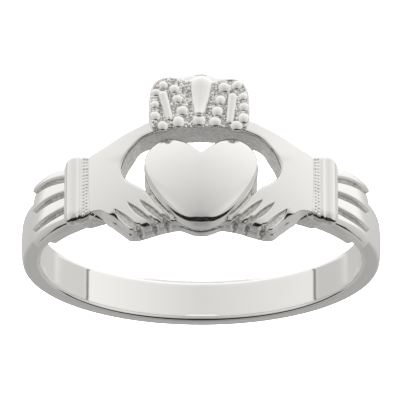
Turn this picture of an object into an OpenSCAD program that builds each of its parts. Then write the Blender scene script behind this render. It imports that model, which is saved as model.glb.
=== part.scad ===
// A claddagh ring, cast in one piece: two cuffed hands hold a crowned heart.
// Sizes are in millimetres. Each part is modelled with the finger hole along z, the crown
// towards +z and the head facing -y. at_rest() then lays the ring down on its crown side.

/* [Finger hole] */
// Diameter of the finger hole
bore_d = 17.35; // [15:0.05:22]

/* [Shank] */
// Width of the band round the back of the finger
shank_w = 2.3; // [1.8:0.1:2.8]
// Thickness of the band along its middle
shank_t = 1.05; // [0.85:0.05:1.3]
// How much thinner the band is along its two edges
shank_drop = 0.08; // [0.05:0.01:0.3]

/* [Sleeves] */
// Width of a sleeve across its pleats
sleeve_w = 3; // [2.6:0.1:3.4]
// Length of a sleeve round the ring, beyond its cuff
sleeve_len = 3.9; // [2.5:0.1:5]
// Thickness from the finger hole to the top of the pleats, at the cuff
sleeve_t = 1.65; // [1.5:0.05:1.9]
// How far the middle of the sleeve's arc lies towards the head, which thins its far end
sleeve_lean = 1; // [0.4:0.1:1.4]
// Number of pleats on a sleeve
pleats = 4; // [2:1:6]
// Width of the groove between two pleats
pleat_gap = 0.24; // [0.14:0.02:0.4]
// Depth of that groove
pleat_depth = 0.35; // [0.2:0.05:0.45]
// How far the middle of a sleeve sits towards the crown
sleeve_rise = 0.1; // [-0.2:0.05:0.2]
// Angle by which the pleats spread apart towards the band
pleat_fan = 9; // [0:1:12]
// How much wider the sleeve is at its far end
sleeve_flare = 0.3; // [0:0.05:0.4]

/* [Cuffs] */
// Distance across the head between the middles of the two cuff rolls
cuff_span = 13.3; // [12.6:0.1:14.4]
// Length of a cuff along the finger
cuff_w = 3.6; // [3.3:0.05:4]
// Diameter of the roll along the cuff
cuff_roll_d = 1; // [0.8:0.05:1.2]
// Thickness from the finger hole to the top of the roll
cuff_t = 2.1; // [2:0.05:2.4]
// Diameter of the beaded line beside the roll
bead_line_d = 0.32; // [0.2:0.02:0.4]

/* [Hands] */
// Thickness from the finger hole to the middle of the palm
palm_t = 1.9; // [1.7:0.05:2.1]
// Radius of the palm's rounding along the finger
palm_bow = 13; // [8:0.5:20]
// Height on the finger at which the palm is thickest
palm_mid = 0.6; // [0:0.1:1]
// How far the thumbs reach towards the crown
thumb_reach = 2.9; // [2.7:0.05:3.1]
// Thickness from the finger hole to the thumbs where they would meet under the crown
thumb_t = 2.5; // [2.3:0.05:2.6]
// Radius of the arc in which the thumbs rise to the crown
thumb_arc_r = 6.6; // [6:0.1:8]
// Height on the finger from which they rise above the palms
thumb_from = 0.72; // [0.5:0.02:1]
// How far the fingertips reach away from the crown
finger_reach = 2.85; // [2.7:0.05:3.1]
// Depth of the grooves between the fingers
finger_groove = 0.4; // [0.2:0.05:0.5]
// Length of the longest groove between two fingers
groove_len = 2.2; // [1.6:0.1:2.3]
// Width of the widest of those grooves
groove_w = 0.48; // [0.25:0.01:0.5]
// How far the notches between the fingertips run out towards the plate's edge
notch_run = 0.7; // [0.5:0.05:1]
// Thickness of the plate beneath the fingertips
plate_t = 0.76; // [0.6:0.02:1]

/* [Opening round the heart] */
// Width of the opening that the hands make
opening_w = 8.25; // [7.6:0.05:8.6]
// Height of its upper edge, under the crown
opening_top = 2.36; // [2.2:0.02:2.4]

/* [Heart] */
// Width of the heart
heart_w = 5.75; // [5.2:0.05:6.2]
// Height of the heart, from its tip to the top of its lobes
heart_h = 4.63; // [4.2:0.01:4.8]
// How far the heart's tip reaches away from the crown
heart_reach = 2.75; // [2.6:0.05:2.9]
// Thickness from the finger hole to the top of the heart
heart_t = 2.65; // [2.5:0.05:2.9]
// Radius of the heart's domed face
heart_dome_r = 6.8; // [5.5:0.1:12]
// Width of the channel between the heart and the forefingers
heart_gap = 0.28; // [0.1:0.02:0.4]
// Thickness of the hands under that channel
channel_t = 1.06; // [0.9:0.02:1.3]

/* [Crown] */
// Width of the crown
crown_w = 5.28; // [4.6:0.02:5.6]
// How far the crown sits to the left of the middle of the head
crown_shift = 0.1; // [-0.2:0.02:0.2]
// Height of the crown's plume above the upper edge of the opening
crown_h = 3.04; // [2.6:0.02:3.4]
// Thickness from the finger hole to the sunken floor of the crown
crown_t = 2.36; // [2.2:0.02:2.6]
// How far the crown's underside rises off the finger at its top
crown_lift = 1; // [0.4:0.1:1.3]
// Diameter of the crown's largest bead
crown_bead_d = 0.66; // [0.5:0.02:0.72]
// Diameter of the two bars in the crown
crown_bar_d = 0.4; // [0.24:0.02:0.44]
// Diameter of the crown's plume at its rounded top
plume_d = 1.26; // [1:0.02:1.4]
// Diameter of the plume at its narrow foot
plume_foot_d = 0.64; // [0.4:0.02:0.8]

/* [Hidden] */
$fn = 96;

silver = "silver";
bore_r = bore_d / 2;
// How far cuts and shapes that are pushed out run past the finger hole
cut_run = 6;
far = bore_r + cut_run;
rim_r = bore_r + shank_t - shank_drop;

// Angles are taken about the finger from the middle of the head, towards +x
cuff_r = bore_r + cuff_t - cuff_roll_d / 2;
cuff_angle = asin(cuff_span / 2 / cuff_r);
roll_angle = asin(cuff_roll_d / 2 / cuff_r);
sleeve_angle = sleeve_len / (bore_r + sleeve_t) * 180 / PI;
sleeve_from = cuff_angle + roll_angle / 2;
sleeve_to = cuff_angle + roll_angle + sleeve_angle;
sleeve_r = norm([
    (bore_r + sleeve_t) * sin(cuff_angle),
    (bore_r + sleeve_t) * cos(cuff_angle) - sleeve_lean,
]);
pleat_pitch = (sleeve_w + pleat_gap) / pleats;
pleat_w = pleat_pitch - pleat_gap;

cuff_x = cuff_span / 2;
hand_end = cuff_x - cuff_roll_d / 2;
heart_top = heart_h - heart_reach;
crown_top = opening_top + crown_h;
crown_face = bore_r + crown_t;

// Tilt at which the back of the band and the crown's top both touch what the ring lies on
rest_tilt = atan((crown_top - shank_w / 2) / (rim_r + bore_r + crown_lift));

// Upper edge of a hand, from the crown out to the cuff: share of cuff_x, share of thumb_reach
THUMB = [
    [0.00, 1.00], [0.30, 1.03], [0.42, 1.00], [0.49, 0.95], [0.574, 0.895], [0.65, 0.83],
    [0.735, 0.74], [0.82, 0.65], [0.92, 0.56],
];
// Lower edge of a hand, from the cuff in to the heart: share of cuff_x, share of finger_reach
FINGERTIPS = [
    [0.92, -0.50], [0.80, -0.505], [0.737, -0.59], [0.672, -0.71], [0.61, -0.85],
    [0.556, -0.975], [0.504, -1.00], [0.45, -0.995], [0.383, -0.965], [0.286, -0.915],
    [0.165, -0.86],
];
// Right half of the opening, downwards: share of half opening_w, share of opening_top
OPENING = [
    [0.00, 1.00], [0.40, 0.975], [0.60, 0.92], [0.77, 0.82], [0.92, 0.62], [1.00, 0.35],
    [0.97, 0.06], [0.88, -0.06], [0.62, -0.35],
];
// Right half of the heart, from its cleft to its tip: share of half heart_w, share of heart_h
HEART = [
    [0.00, 0.785], [0.18, 0.875], [0.38, 0.965], [0.62, 1.00], [0.83, 0.94], [0.96, 0.83],
    [1.00, 0.68], [0.96, 0.54], [0.84, 0.395], [0.66, 0.25], [0.43, 0.11], [0.20, 0.02],
    [0.00, 0.00],
];
// Half of the crown, upwards from its foot: share of half crown_w, share of crown_h
CROWN = [
    [0.84, -0.10], [0.95, 0.06], [0.99, 0.22], [1.00, 0.42], [0.96, 0.66], [0.85, 0.84],
    [0.66, 0.91], [0.45, 0.87], [0.28, 0.81],
];
// Beads of the crown, left and right of its middle:
// share of half crown_w, share of crown_h, share of crown_bead_d
BEADS = [
    [0.00, 0.12, 1.00],
    [-0.71, 0.02, 0.80], [-0.40, 0.09, 1.00], [-0.33, 0.29, 0.90], [-0.43, 0.51, 0.80],
    [-0.49, 0.70, 0.85], [-0.71, 0.77, 0.85], [-0.89, 0.65, 0.75], [-0.92, 0.42, 0.80],
    [-0.90, 0.20, 0.90],
    [0.73, 0.02, 0.90], [0.31, 0.09, 1.00], [0.36, 0.28, 0.95], [0.42, 0.49, 0.90],
    [0.50, 0.72, 0.90], [0.74, 0.76, 0.85], [0.86, 0.56, 0.80], [0.88, 0.36, 0.75],
    [0.87, 0.16, 0.95],
];
// Bars of the crown: share of half crown_w and of crown_h at the top, then at the foot
BARS = [
    [-0.71, 0.60, -0.59, 0.19],
    [0.66, 0.56, 0.60, 0.12],
];
// Height of the plume's foot: share of crown_h
PLUME_FOOT = 0.23;
// Grooves between the fingers: share of cuff_x, share of finger_reach, of groove_len, of groove_w
GROOVES = [
    [0.370, -0.615, 1.00, 1.00],
    [0.472, -0.660, 0.92, 0.85],
    [0.567, -0.740, 0.88, 0.75],
];
groove_slope = 47;

// Width of a notch as a share of its groove's width
notch_share = 0.6;
// Radius of a pleat's rounded crest as a share of the pleat's width
crest_share = 0.7;
// Length of the beaded line as a share of the cuff's length
line_share = 0.94;
// How much of the roll the block beneath it fills on the outer side
block_share = 0.9;
// Angle by which that block starts before the beaded line
block_edge = 1;
// How deep the plume's round back sits in the crown, as a share of its diameter
sunk_share = 0.25;
// A small step that keeps one face from lying on another
slack = 0.006;

// A point on the smooth curve from b to c, where a comes before them and d after
function curve_point(a, b, c, d, t) =
    b + t / 2 * ((c - a) + t * ((2 * a - 5 * b + 4 * c - d) + t * (3 * b - a - 3 * c + d)));

// A smooth run through the points p, with its ends left as corners
function smooth_run(p, steps = 4) = let (
    last = len(p) - 1,
    q = concat([2 * p[0] - p[1]], p, [2 * p[last] - p[last - 1]])
) concat(
    [for (i = [0 : last - 1], s = [0 : steps - 1])
        curve_point(q[i], q[i + 1], q[i + 2], q[i + 3], s / steps)],
    [p[last]]
);

// A table of shares as lengths, w across the head and h along the finger
function sized(table, w, h) = [for (row = table) [row[0] * w, row[1] * h]];

// The points p with their mirror image across the middle of the head
function both_sides(p) = concat(
    p,
    [for (i = [len(p) - 1 : -1 : 0]) if (p[i].x > 0) [-p[i].x, p[i].y]]
);

// Shapes that face the head's front: x across it, y along the finger, pushed out through it
module front(depth = far) {
    rotate([90, 0, 0]) linear_extrude(depth) children();
}

// What lies between two angles about the finger
module between(from, to, height) {
    linear_extrude(height, center = true)
        polygon([
            [0, 0],
            2 * far * [sin(from), -cos(from)],
            2 * far * [sin(to), -cos(to)],
        ]);
}

// The same on both sides of the head
module pair() {
    children();
    mirror([1, 0, 0]) children();
}

// The band, with flat sides and a softly rounded back
module shank() {
    bow = (shank_drop ^ 2 + (shank_w / 2) ^ 2) / (2 * shank_drop);
    color(silver) rotate_extrude() intersection() {
        translate([bore_r - shank_t / 2, -shank_w / 2]) square([2 * shank_t, shank_w]);
        translate([bore_r + shank_t - bow, 0]) circle(bow);
    }
}

// One ring of metal round the finger whose middle lies towards the head
module leaning_ring(outer, low, high) {
    translate([0, -sleeve_lean, low]) cylinder(r = outer, h = high - low);
}

// A sleeve, with pleats that fan out from the cuff and run round the ring into the band
module sleeve() {
    hinge_y = (bore_r + sleeve_t) * cos(cuff_angle);
    color(silver) intersection() {
        translate([0, 0, sleeve_rise])
            between(sleeve_from, sleeve_to, sleeve_w + sleeve_flare);
        translate([0, 0, sleeve_rise]) {
            leaning_ring(sleeve_r - pleat_depth, -sleeve_w / 2, sleeve_w / 2);
            for (i = [0 : pleats - 1])
                translate([0, -hinge_y, (pleat_w - sleeve_w) / 2 + i * pleat_pitch])
                    rotate([pleat_fan * i / (pleats - 1), 0, 0])
                        translate([0, hinge_y - sleeve_lean, 0]) pleat();
        }
    }
}

// One pleat as a whole ring with a rounded crest, of which a sleeve keeps a stretch
module pleat() {
    crest_r = crest_share * pleat_w;
    rotate_extrude() intersection() {
        translate([sleeve_r - crest_r, 0]) circle(crest_r);
        translate([sleeve_r - 2 * pleat_depth, -pleat_w / 2])
            square([2 * pleat_depth + slack, pleat_w]);
    }
}

// A cuff: a roll along the finger on its block, with the beaded line beside it
module cuff() {
    bead_r = bead_line_d / 2;
    line_r = bore_r + palm_t;
    line_angle = asin((cuff_x - cuff_roll_d / 2 - bead_r) / line_r);
    color(silver) {
        rotate([0, 0, cuff_angle]) translate([0, -cuff_r, -cuff_w / 2])
            cylinder(d = cuff_roll_d, h = cuff_w);
        intersection() {
            between(line_angle - block_edge, cuff_angle + roll_angle * block_share, 2 * cuff_w);
            cylinder(r = cuff_r, h = sleeve_w, center = true);
        }
        rotate([0, 0, line_angle]) translate([0, -line_r, 0])
            cylinder(r = bead_r, h = cuff_w * line_share, center = true);
    }
}

// Round the finger, t thick at palm_mid and bowed along the finger as the palms are
module bowed(t) {
    rotate_extrude() intersection() {
        translate([bore_r + t - palm_bow, palm_mid]) circle(palm_bow);
        translate([0, palm_mid - palm_bow]) square([far, 2 * palm_bow]);
    }
}

// Both hands as one plate, from cuff to cuff, with softly bowed backs
module hands() {
    upper = smooth_run(sized(THUMB, cuff_x, thumb_reach));
    lower = smooth_run(sized(FINGERTIPS, cuff_x, finger_reach));
    color(silver) {
        intersection() {
            front() polygon(both_sides(concat(upper, lower)));
            bowed(palm_t);
        }
        intersection() {
            front() polygon(both_sides(concat(upper, [[hand_end, 0]])));
            translate([0, thumb_arc_r - bore_r - thumb_t, thumb_from])
                cylinder(r = thumb_arc_r, h = thumb_reach);
        }
    }
}

// Leaf-shaped grooves that part the four fingers, and notches between the fingertips
module finger_grooves() {
    difference() {
        front() for (row = GROOVES) groove_at(row) {
            half_len = row[2] * groove_len / 2;
            half_w = row[3] * groove_w / 2;
            r = (half_len ^ 2 + half_w ^ 2) / (2 * half_w);
            intersection() {
                translate([0, r - half_w]) circle(r);
                translate([0, half_w - r]) circle(r);
            }
        }
        bowed(palm_t - finger_groove);
    }
    difference() {
        front() for (row = GROOVES) groove_at(row)
            translate([-row[2] * groove_len / 2, 0]) rotate(-groove_slope)
                notch(row[3] * groove_w * notch_share);
        cylinder(r = bore_r + plate_t, h = 2 * far, center = true);
    }
}

// Puts a shape at a groove's middle, with x along the groove
module groove_at(row) {
    translate([row[0] * cuff_x, row[1] * finger_reach]) rotate(groove_slope) children();
}

// A notch of width w that starts round and runs out over the plate's edge
module notch(w) {
    circle(d = w);
    translate([-w / 2, -notch_run]) square([w, notch_run]);
}

// The channel between the heart and a forefinger
module heart_channel() {
    difference() {
        front() translate([heart_gap, 0]) heart_outline();
        cylinder(r = bore_r + channel_t, h = 2 * far, center = true);
    }
}

// The opening that shows round the heart, cut through to the finger
module opening() {
    right = smooth_run(sized(OPENING, opening_w / 2, opening_top));
    front() polygon(both_sides(right));
}

// The heart seen from the front
module heart_outline() {
    right = smooth_run(sized(HEART, heart_w / 2, heart_h));
    translate([0, -heart_reach]) polygon(both_sides(right));
}

// The heart, domed, with its tip on the plate of the hands
module heart() {
    color(silver) intersection() {
        front() heart_outline();
        translate([0, heart_dome_r - bore_r - heart_t, heart_top - heart_h / 2])
            sphere(heart_dome_r);
    }
}

// The crown: a sunken plate with beads, two bars and a plume
module crown() {
    right = smooth_run(sized(CROWN, crown_w / 2, crown_h));
    color(silver) translate([-crown_shift, 0, opening_top]) {
        front(crown_face) polygon(both_sides(right));
        for (row = BEADS)
            translate([row[0] * crown_w / 2, -crown_face, row[1] * crown_h])
                sphere(d = row[2] * crown_bead_d);
        for (row = BARS) crown_bar(row);
        plume();
    }
}

// One round bar in the crown, half sunk, between the two ends that its row gives
module crown_bar(row) {
    rod(
        [row[2] * crown_w / 2, -crown_face, row[3] * crown_h], crown_bar_d,
        [row[0] * crown_w / 2, -crown_face, row[1] * crown_h], crown_bar_d
    );
}

// The plume, which widens from its foot in the crown to a round top over the head's middle
module plume() {
    foot = [0, PLUME_FOOT * crown_h];
    top = [crown_shift, crown_h - plume_d / 2];
    foot_y = plume_foot_d * sunk_share - crown_face;
    top_y = plume_d * sunk_share - crown_face;
    rod([foot.x, foot_y, foot.y], plume_foot_d, [top.x, top_y, top.y], plume_d);
    translate([top.x, top_y, top.y]) sphere(d = plume_d);
    front(-top_y) translate(top) circle(d = plume_d - slack);
    front(crown_face) polygon([
        foot - [plume_foot_d / 2, 0], foot + [plume_foot_d / 2, 0],
        top + [plume_d / 2, 0], top - [plume_d / 2, 0],
    ]);
}

// A round rod from point a to point b, with the diameter that stands after each
module rod(a, d1, b, d2) {
    run = b - a;
    translate(a) rotate([0, acos(run.z / norm(run)), atan2(run.y, run.x)])
        cylinder(d1 = d1, d2 = d2, h = norm(run));
}

// What the finger takes: the round hole, which opens out under the crown
module finger_hole() {
    rotate_extrude() polygon([
        [0, -far], [bore_r, -far], [bore_r, opening_top],
        [bore_r + crown_lift, crown_top], [bore_r + crown_lift, far], [0, far],
    ]);
}

// Lays the ring on the back of its band and the top of its crown, over the origin
module at_rest() {
    s = sin(rest_tilt);
    c = cos(rest_tilt);
    back_y = rim_r * c + shank_w / 2 * s;
    plume_y = plume_d * sunk_share - crown_face;
    front_y = plume_y * c - (crown_top - plume_d / 2) * s - plume_d / 2;
    translate([0, -(back_y + front_y) / 2, rim_r * s + shank_w / 2 * c])
        rotate([rest_tilt, 180, 0]) children();
}

module claddagh_ring() {
    at_rest() difference() {
        union() {
            difference() {
                union() {
                    shank();
                    pair() sleeve();
                    pair() cuff();
                    hands();
                    crown();
                }
                opening();
                pair() finger_grooves();
                pair() heart_channel();
            }
            heart();
        }
        finger_hole();
    }
}

claddagh_ring();
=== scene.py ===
"""A claddagh ring of polished cast silver, laid on its crown side on a pale floor.

Every part is shaped in the ring's own frame, in millimetres: x across the head, v along the finger
towards the crown, z out of the head. Lay then puts it down as the ring rests, in metres.
"""
import logging
import math
from dataclasses import dataclass
from enum import Enum
from typing import Callable

import bpy
import numpy as np
from mathutils import Matrix, Vector


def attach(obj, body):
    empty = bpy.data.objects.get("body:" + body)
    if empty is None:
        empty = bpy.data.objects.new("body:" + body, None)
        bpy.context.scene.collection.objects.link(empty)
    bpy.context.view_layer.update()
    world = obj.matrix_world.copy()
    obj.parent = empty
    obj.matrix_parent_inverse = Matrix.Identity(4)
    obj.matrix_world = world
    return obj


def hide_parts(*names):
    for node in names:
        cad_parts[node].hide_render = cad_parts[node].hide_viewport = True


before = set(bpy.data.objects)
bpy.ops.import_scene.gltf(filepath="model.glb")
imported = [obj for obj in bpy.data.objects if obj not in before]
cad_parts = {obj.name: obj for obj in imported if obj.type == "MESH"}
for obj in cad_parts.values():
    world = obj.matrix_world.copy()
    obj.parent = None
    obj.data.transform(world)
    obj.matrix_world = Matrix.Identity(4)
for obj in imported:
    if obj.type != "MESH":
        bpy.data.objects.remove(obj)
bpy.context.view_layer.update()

LOG = logging.getLogger("claddagh_ring")
MM = 0.001
# where the outline of a right half closes, past the head's middle
PAST_MIDDLE = -1.0

Array = np.ndarray
Mesh = bpy.types.Mesh
Socket = bpy.types.NodeSocket
Tree = bpy.types.NodeTree
Rows = tuple[tuple[float, ...], ...]
Span = tuple[float, float]
Point = tuple[float, float, float]
Way = tuple[Socket, Socket, Socket]


# Sizes that several parts share


@dataclass(frozen=True)
class Sizes:
    """Sizes that more than one part of the ring uses, in millimetres."""

    bore_r: float = 8.675
    band_t: float = 1.05
    band_drop: float = 0.08
    band_w: float = 2.3
    cuff_x: float = 6.65
    cuff_r: float = 10.275
    opening_top: float = 2.36
    crown_h: float = 3.04
    crown_lift: float = 1.0
    crown_face: float = 11.035
    plume_d: float = 1.26
    plume_sunk: float = 0.25
    # how far a part keeps back from the finger, where its neighbour makes the hole's wall
    tucked: float = 0.02

    @property
    def cuff_angle(self) -> float:
        """Angle of the cuff's roll from the middle of the head, in radians."""
        return math.asin(self.cuff_x / self.cuff_r)

    @property
    def crown_top(self) -> float:
        """Height of the plume's top."""
        return self.opening_top + self.crown_h


SIZES = Sizes()


class Side(Enum):
    """The head's two sides, as what a part's x, v and z are multiplied by to lie there."""

    RIGHT = (1, 1, 1)
    LEFT = (-1, 1, 1)


class Lay:
    """How the ring rests: on the back edge of its band and the top of its crown."""

    def __init__(self, sizes: Sizes) -> None:
        """Works out the tilt and the place over the origin.

        Args:
            sizes: the ring's shared sizes.
        """
        rim_r = sizes.bore_r + sizes.band_t - sizes.band_drop
        half_w = sizes.band_w / 2
        tilt = math.atan((sizes.crown_top - half_w) / (rim_r + sizes.bore_r + sizes.crown_lift))
        s, c = math.sin(tilt), math.cos(tilt)
        back = rim_r * c + half_w * s
        plume_z = sizes.crown_face - sizes.plume_sunk * sizes.plume_d
        plume_v = sizes.crown_top - sizes.plume_d / 2
        front = -plume_z * c - plume_v * s - sizes.plume_d / 2
        shift, drop = -(back + front) / 2, rim_r * s + half_w * c
        self.matrix = Matrix.Scale(MM, 4) @ Matrix((
            (-1, 0, 0, 0), (0, -s, -c, shift), (0, -c, s, drop), (0, 0, 0, 1),
        ))
        self.turn = self.matrix.to_3x3().normalized()

    def place(self, point: Vector) -> Vector:
        """A point of the ring's own frame, where it lies once the ring rests."""
        return self.matrix @ point

    def aim(self, direction: Vector) -> Vector:
        """A direction of the ring's own frame, as it points once the ring rests."""
        return (self.matrix.to_3x3() @ direction).normalized()


LAY = Lay(SIZES)


# Outlines and forms


@dataclass
class Places:
    """Points in the ring's own frame, as arrays that broadcast together."""

    x: Array
    v: Array
    z: Array

    def __post_init__(self) -> None:
        """Works out how far the points are from the head's middle and from the finger's axis."""
        self.side = np.abs(self.x)
        self.rho = np.hypot(self.x, self.z)


Form = Callable[[Places], Array]


def smooth_run(points: Rows, steps: int = 8) -> Array:
    """Runs a smooth curve through a maker's points, with both ends left as corners.

    Args:
        points: the points, each as two lengths.
        steps: stretches of curve between two points.

    Returns:
        The points of the curve, one row each.
    """
    p = np.asarray(points, float)
    q = np.vstack([2 * p[0] - p[1], p, 2 * p[-1] - p[-2]])
    run = [
        b + t / 2 * ((c - a) + t * ((2 * a - 5 * b + 4 * c - d) + t * (3 * b - a - 3 * c + d)))
        for a, b, c, d in zip(q, q[1:], q[2:], q[3:])
        for t in np.arange(steps) / steps
    ]
    return np.vstack([run, p[-1:]])


@dataclass
class Outline:
    """A closed outline on the face of the head."""

    points: Array

    @classmethod
    def drawn(cls, table: Rows, across: float, along: float, shift: float = 0.0) -> "Outline":
        """Draws an outline from shares of two lengths.

        Args:
            table: rows of a share of the length across and a share of the length along.
            across: what the first share is of.
            along: what the second share is of.
            shift: how far the whole outline sits towards the crown.

        Returns:
            The outline.
        """
        return cls(smooth_run(table) * (across, along) + (0, shift))

    def closed(self, *corners: tuple[float, float]) -> "Outline":
        """The same outline, closed through further corners."""
        return Outline(np.vstack([self.points, *corners]))

    def depth(self, x: Array, v: Array) -> Array:
        """How far points lie outside the outline; what is inside counts below zero.

        Args:
            x: places across the head.
            v: places along the finger.

        Returns:
            The distances, in the arrays' joint shape.
        """
        x, v = np.broadcast_arrays(x, v)
        near = np.full(x.shape, np.inf)
        inside = np.zeros(x.shape, bool)
        for (ax, av), (bx, bv) in zip(self.points, np.roll(self.points, -1, axis=0)):
            ex, ev, wx, wv = bx - ax, bv - av, x - ax, v - av
            t = np.clip((wx * ex + wv * ev) / max(ex * ex + ev * ev, 1e-12), 0, 1)
            near = np.minimum(near, (wx - t * ex) ** 2 + (wv - t * ev) ** 2)
            if av != bv:
                inside ^= ((av > v) != (bv > v)) & (x < ex * (v - av) / ev + ax)
        return np.sqrt(near) * np.where(inside, -1, 1)


def join(a: Array, b: Array, soft: float) -> Array:
    """Two forms as one, with a fillet where they meet."""
    return np.minimum(a, b) - np.maximum(soft - np.abs(a - b), 0) ** 2 / (4 * soft)


def trim(a: Array, b: Array, soft: float | Array) -> Array:
    """What two forms share, with a rounded edge where they meet."""
    return np.maximum(a, b) + np.maximum(soft - np.abs(a - b), 0) ** 2 / (4 * soft)


def ease(x: Array, low: float, high: float) -> Array:
    """Rises smoothly from 0 at low to 1 at high."""
    t = np.clip((x - low) / (high - low), 0, 1)
    return t * t * (3 - 2 * t)


class Skin:
    """A closed skin over a form, whose points lie on the form itself."""

    SETTLING_ROUNDS = 2
    SLOPE_SHARE = 0.2

    def __init__(self, form: Form, low: Point, high: Point, step: float) -> None:
        """Lays a net over the form and settles its points on it.

        Args:
            form: distance outside the form at places.
            low: lowest corner of the box that holds the form.
            high: highest corner of that box.
            step: width of the net's meshes.

        Raises:
            ValueError: where the box cuts the form.
        """
        self.form = form
        self.step = step
        axes = [np.arange(a - step, b + 2 * step, step) for a, b in zip(low, high)]
        value = form(Places(*np.ix_(*axes)))
        value = np.array(np.broadcast_to(value, [len(a) for a in axes]))
        for k in range(3):
            if (np.take(value, (0, -1), axis=k) < 0).any():
                raise ValueError(f"the box from {low} to {high} cuts the form along axis {k}")
        self.origin = np.array([a[0] for a in axes])
        self._net(value)
        self._settle()

    def _net(self, value: Array) -> None:
        """Finds one point in each cell that the form's surface crosses, and joins them in quads.

        Args:
            value: the form's distances on the grid.
        """
        cells = tuple(n - 1 for n in value.shape)
        total, count = np.zeros(cells + (3,)), np.zeros(cells)
        rings: list[Array] = []
        for axis in range(3):
            ahead = [slice(None)] * 3
            behind = [slice(None)] * 3
            ahead[axis], behind[axis] = slice(1, None), slice(None, -1)
            a, b = value[tuple(behind)], value[tuple(ahead)]
            cross = (a < 0) != (b < 0)
            at = np.argwhere(cross)
            fa, fb = a[cross], b[cross]
            place = at.astype(float)
            place[:, axis] += fa / (fa - fb)
            u, w = (axis + 1) % 3, (axis + 2) % 3
            ring = []
            for du, dw in ((0, 0), (-1, 0), (-1, -1), (0, -1)):
                cell = at.copy()
                cell[:, u] += du
                cell[:, w] += dw
                flat = np.ravel_multi_index(cell.T, cells)
                np.add.at(total.reshape(-1, 3), flat, place)
                np.add.at(count.reshape(-1), flat, 1)
                ring.append(flat)
            quads = np.stack(ring, 1)
            quads[fa >= 0] = quads[fa >= 0][:, ::-1]
            rings.append(quads)
        used = count.reshape(-1) > 0
        number = np.cumsum(used) - 1
        self.points = total.reshape(-1, 3)[used] / count.reshape(-1)[used][:, None]
        self.points = self.points * self.step + self.origin
        self.quads = number[np.vstack(rings)]

    def _slope(self, points: Array) -> Array:
        """The form's slope at points.

        Args:
            points: the points, one row each.

        Returns:
            The slopes, one row each.
        """
        e = self.step * self.SLOPE_SHARE
        ahead = [self.form(Places(*(points + shift).T)) for shift in np.eye(3) * e]
        behind = [self.form(Places(*(points - shift).T)) for shift in np.eye(3) * e]
        return (np.stack(ahead, 1) - np.stack(behind, 1)) / (2 * e)

    def _settle(self) -> None:
        """Moves the points onto the form and takes its own normals there."""
        for _ in range(self.SETTLING_ROUNDS):
            slope = self._slope(self.points)
            far = self.form(Places(*self.points.T)) / np.maximum((slope**2).sum(1), 1e-6)
            self.points -= np.clip(far, -self.step, self.step)[:, None] * slope
        slope = self._slope(self.points)
        self.normals = slope / np.maximum(np.linalg.norm(slope, axis=1, keepdims=True), 1e-9)

    def mesh(self, name: str, grain: Form, side: Side = Side.RIGHT) -> Mesh:
        """The skin as a mesh where the ring rests.

        Args:
            name: the mesh's name.
            grain: how rough the casting is left at places, from 0 to 1, where the roughest places also get
                painted shade.
            side: the side of the head, where the part's left one mirrors its right one.

        Returns:
            The mesh, in metres.
        """
        mesh = bpy.data.meshes.new(name)
        quads = self.quads[:, ::side.value[0]]
        mesh.from_pydata((self.points * side.value).tolist(), [], quads.tolist())
        mesh.update()
        mesh.shade_smooth()
        layer = mesh.attributes.new("grain", "FLOAT", "POINT")
        # the roughness, whose highest values also bring painted shade
        rough = np.clip(grain(Places(*self.points.T)), 0, 1)
        layer.data.foreach_set("value", rough.astype(np.float32))
        mesh.transform(LAY.matrix)
        normals = (self.normals * side.value) @ np.array(LAY.turn).T
        mesh.normals_split_custom_set_from_vertices(normals.tolist())
        return mesh


# Node trees


class Wiring:
    """Short ways to add and join nodes in one tree."""

    def __init__(self, tree: Tree) -> None:
        """Keeps the tree that gets the nodes."""
        self.tree = tree

    def add(self, kind: str, settings: dict[str, object] | None = None, **inputs: object) -> bpy.types.Node:
        """Adds a node.

        Args:
            kind: the node's type.
            settings: the node's own properties.
            inputs: value or socket for each input, whose spaces are written as underscores.

        Returns:
            The node.
        """
        node = self.tree.nodes.new(kind)
        for key, value in (settings or {}).items():
            setattr(node, key, value)
        for key, value in inputs.items():
            label = key.replace("_", " ")
            self.feed(next(s for s in node.inputs if s.name == label and s.enabled), value)
        return node

    def feed(self, socket: Socket, value: object) -> None:
        """Sets an input of a node, or joins it to the socket that feeds it.

        Args:
            socket: the input.
            value: a value, or the socket that feeds it.
        """
        if isinstance(value, Socket):
            self.tree.links.new(value, socket)
        else:
            socket.default_value = value

    def rise(self, value: Socket, span: Span, start: object, end: object) -> Socket:
        """A number that runs smoothly from start to end while a value runs through a span.

        Args:
            value: the socket of the value.
            span: where the run starts and where it ends.
            start: the number up to there.
            end: the number from there on.

        Returns:
            The socket that gives the number.
        """
        node = self.add("ShaderNodeMapRange", {"interpolation_type": "SMOOTHSTEP"}, Value=value)
        for label, number in zip(("From Min", "From Max", "To Min", "To Max"), (*span, start, end)):
            self.feed(node.inputs[label], number)
        return node.outputs[0]

    def math(self, operation: str, *numbers: object) -> Socket:
        """The result of a sum.

        Args:
            operation: the sum's name.
            numbers: what it is made of, each a number or a socket.

        Returns:
            The socket that gives the result.
        """
        node = self.add("ShaderNodeMath", {"operation": operation})
        for socket, number in zip(node.inputs, numbers):
            self.feed(socket, number)
        return node.outputs[0]


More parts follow.
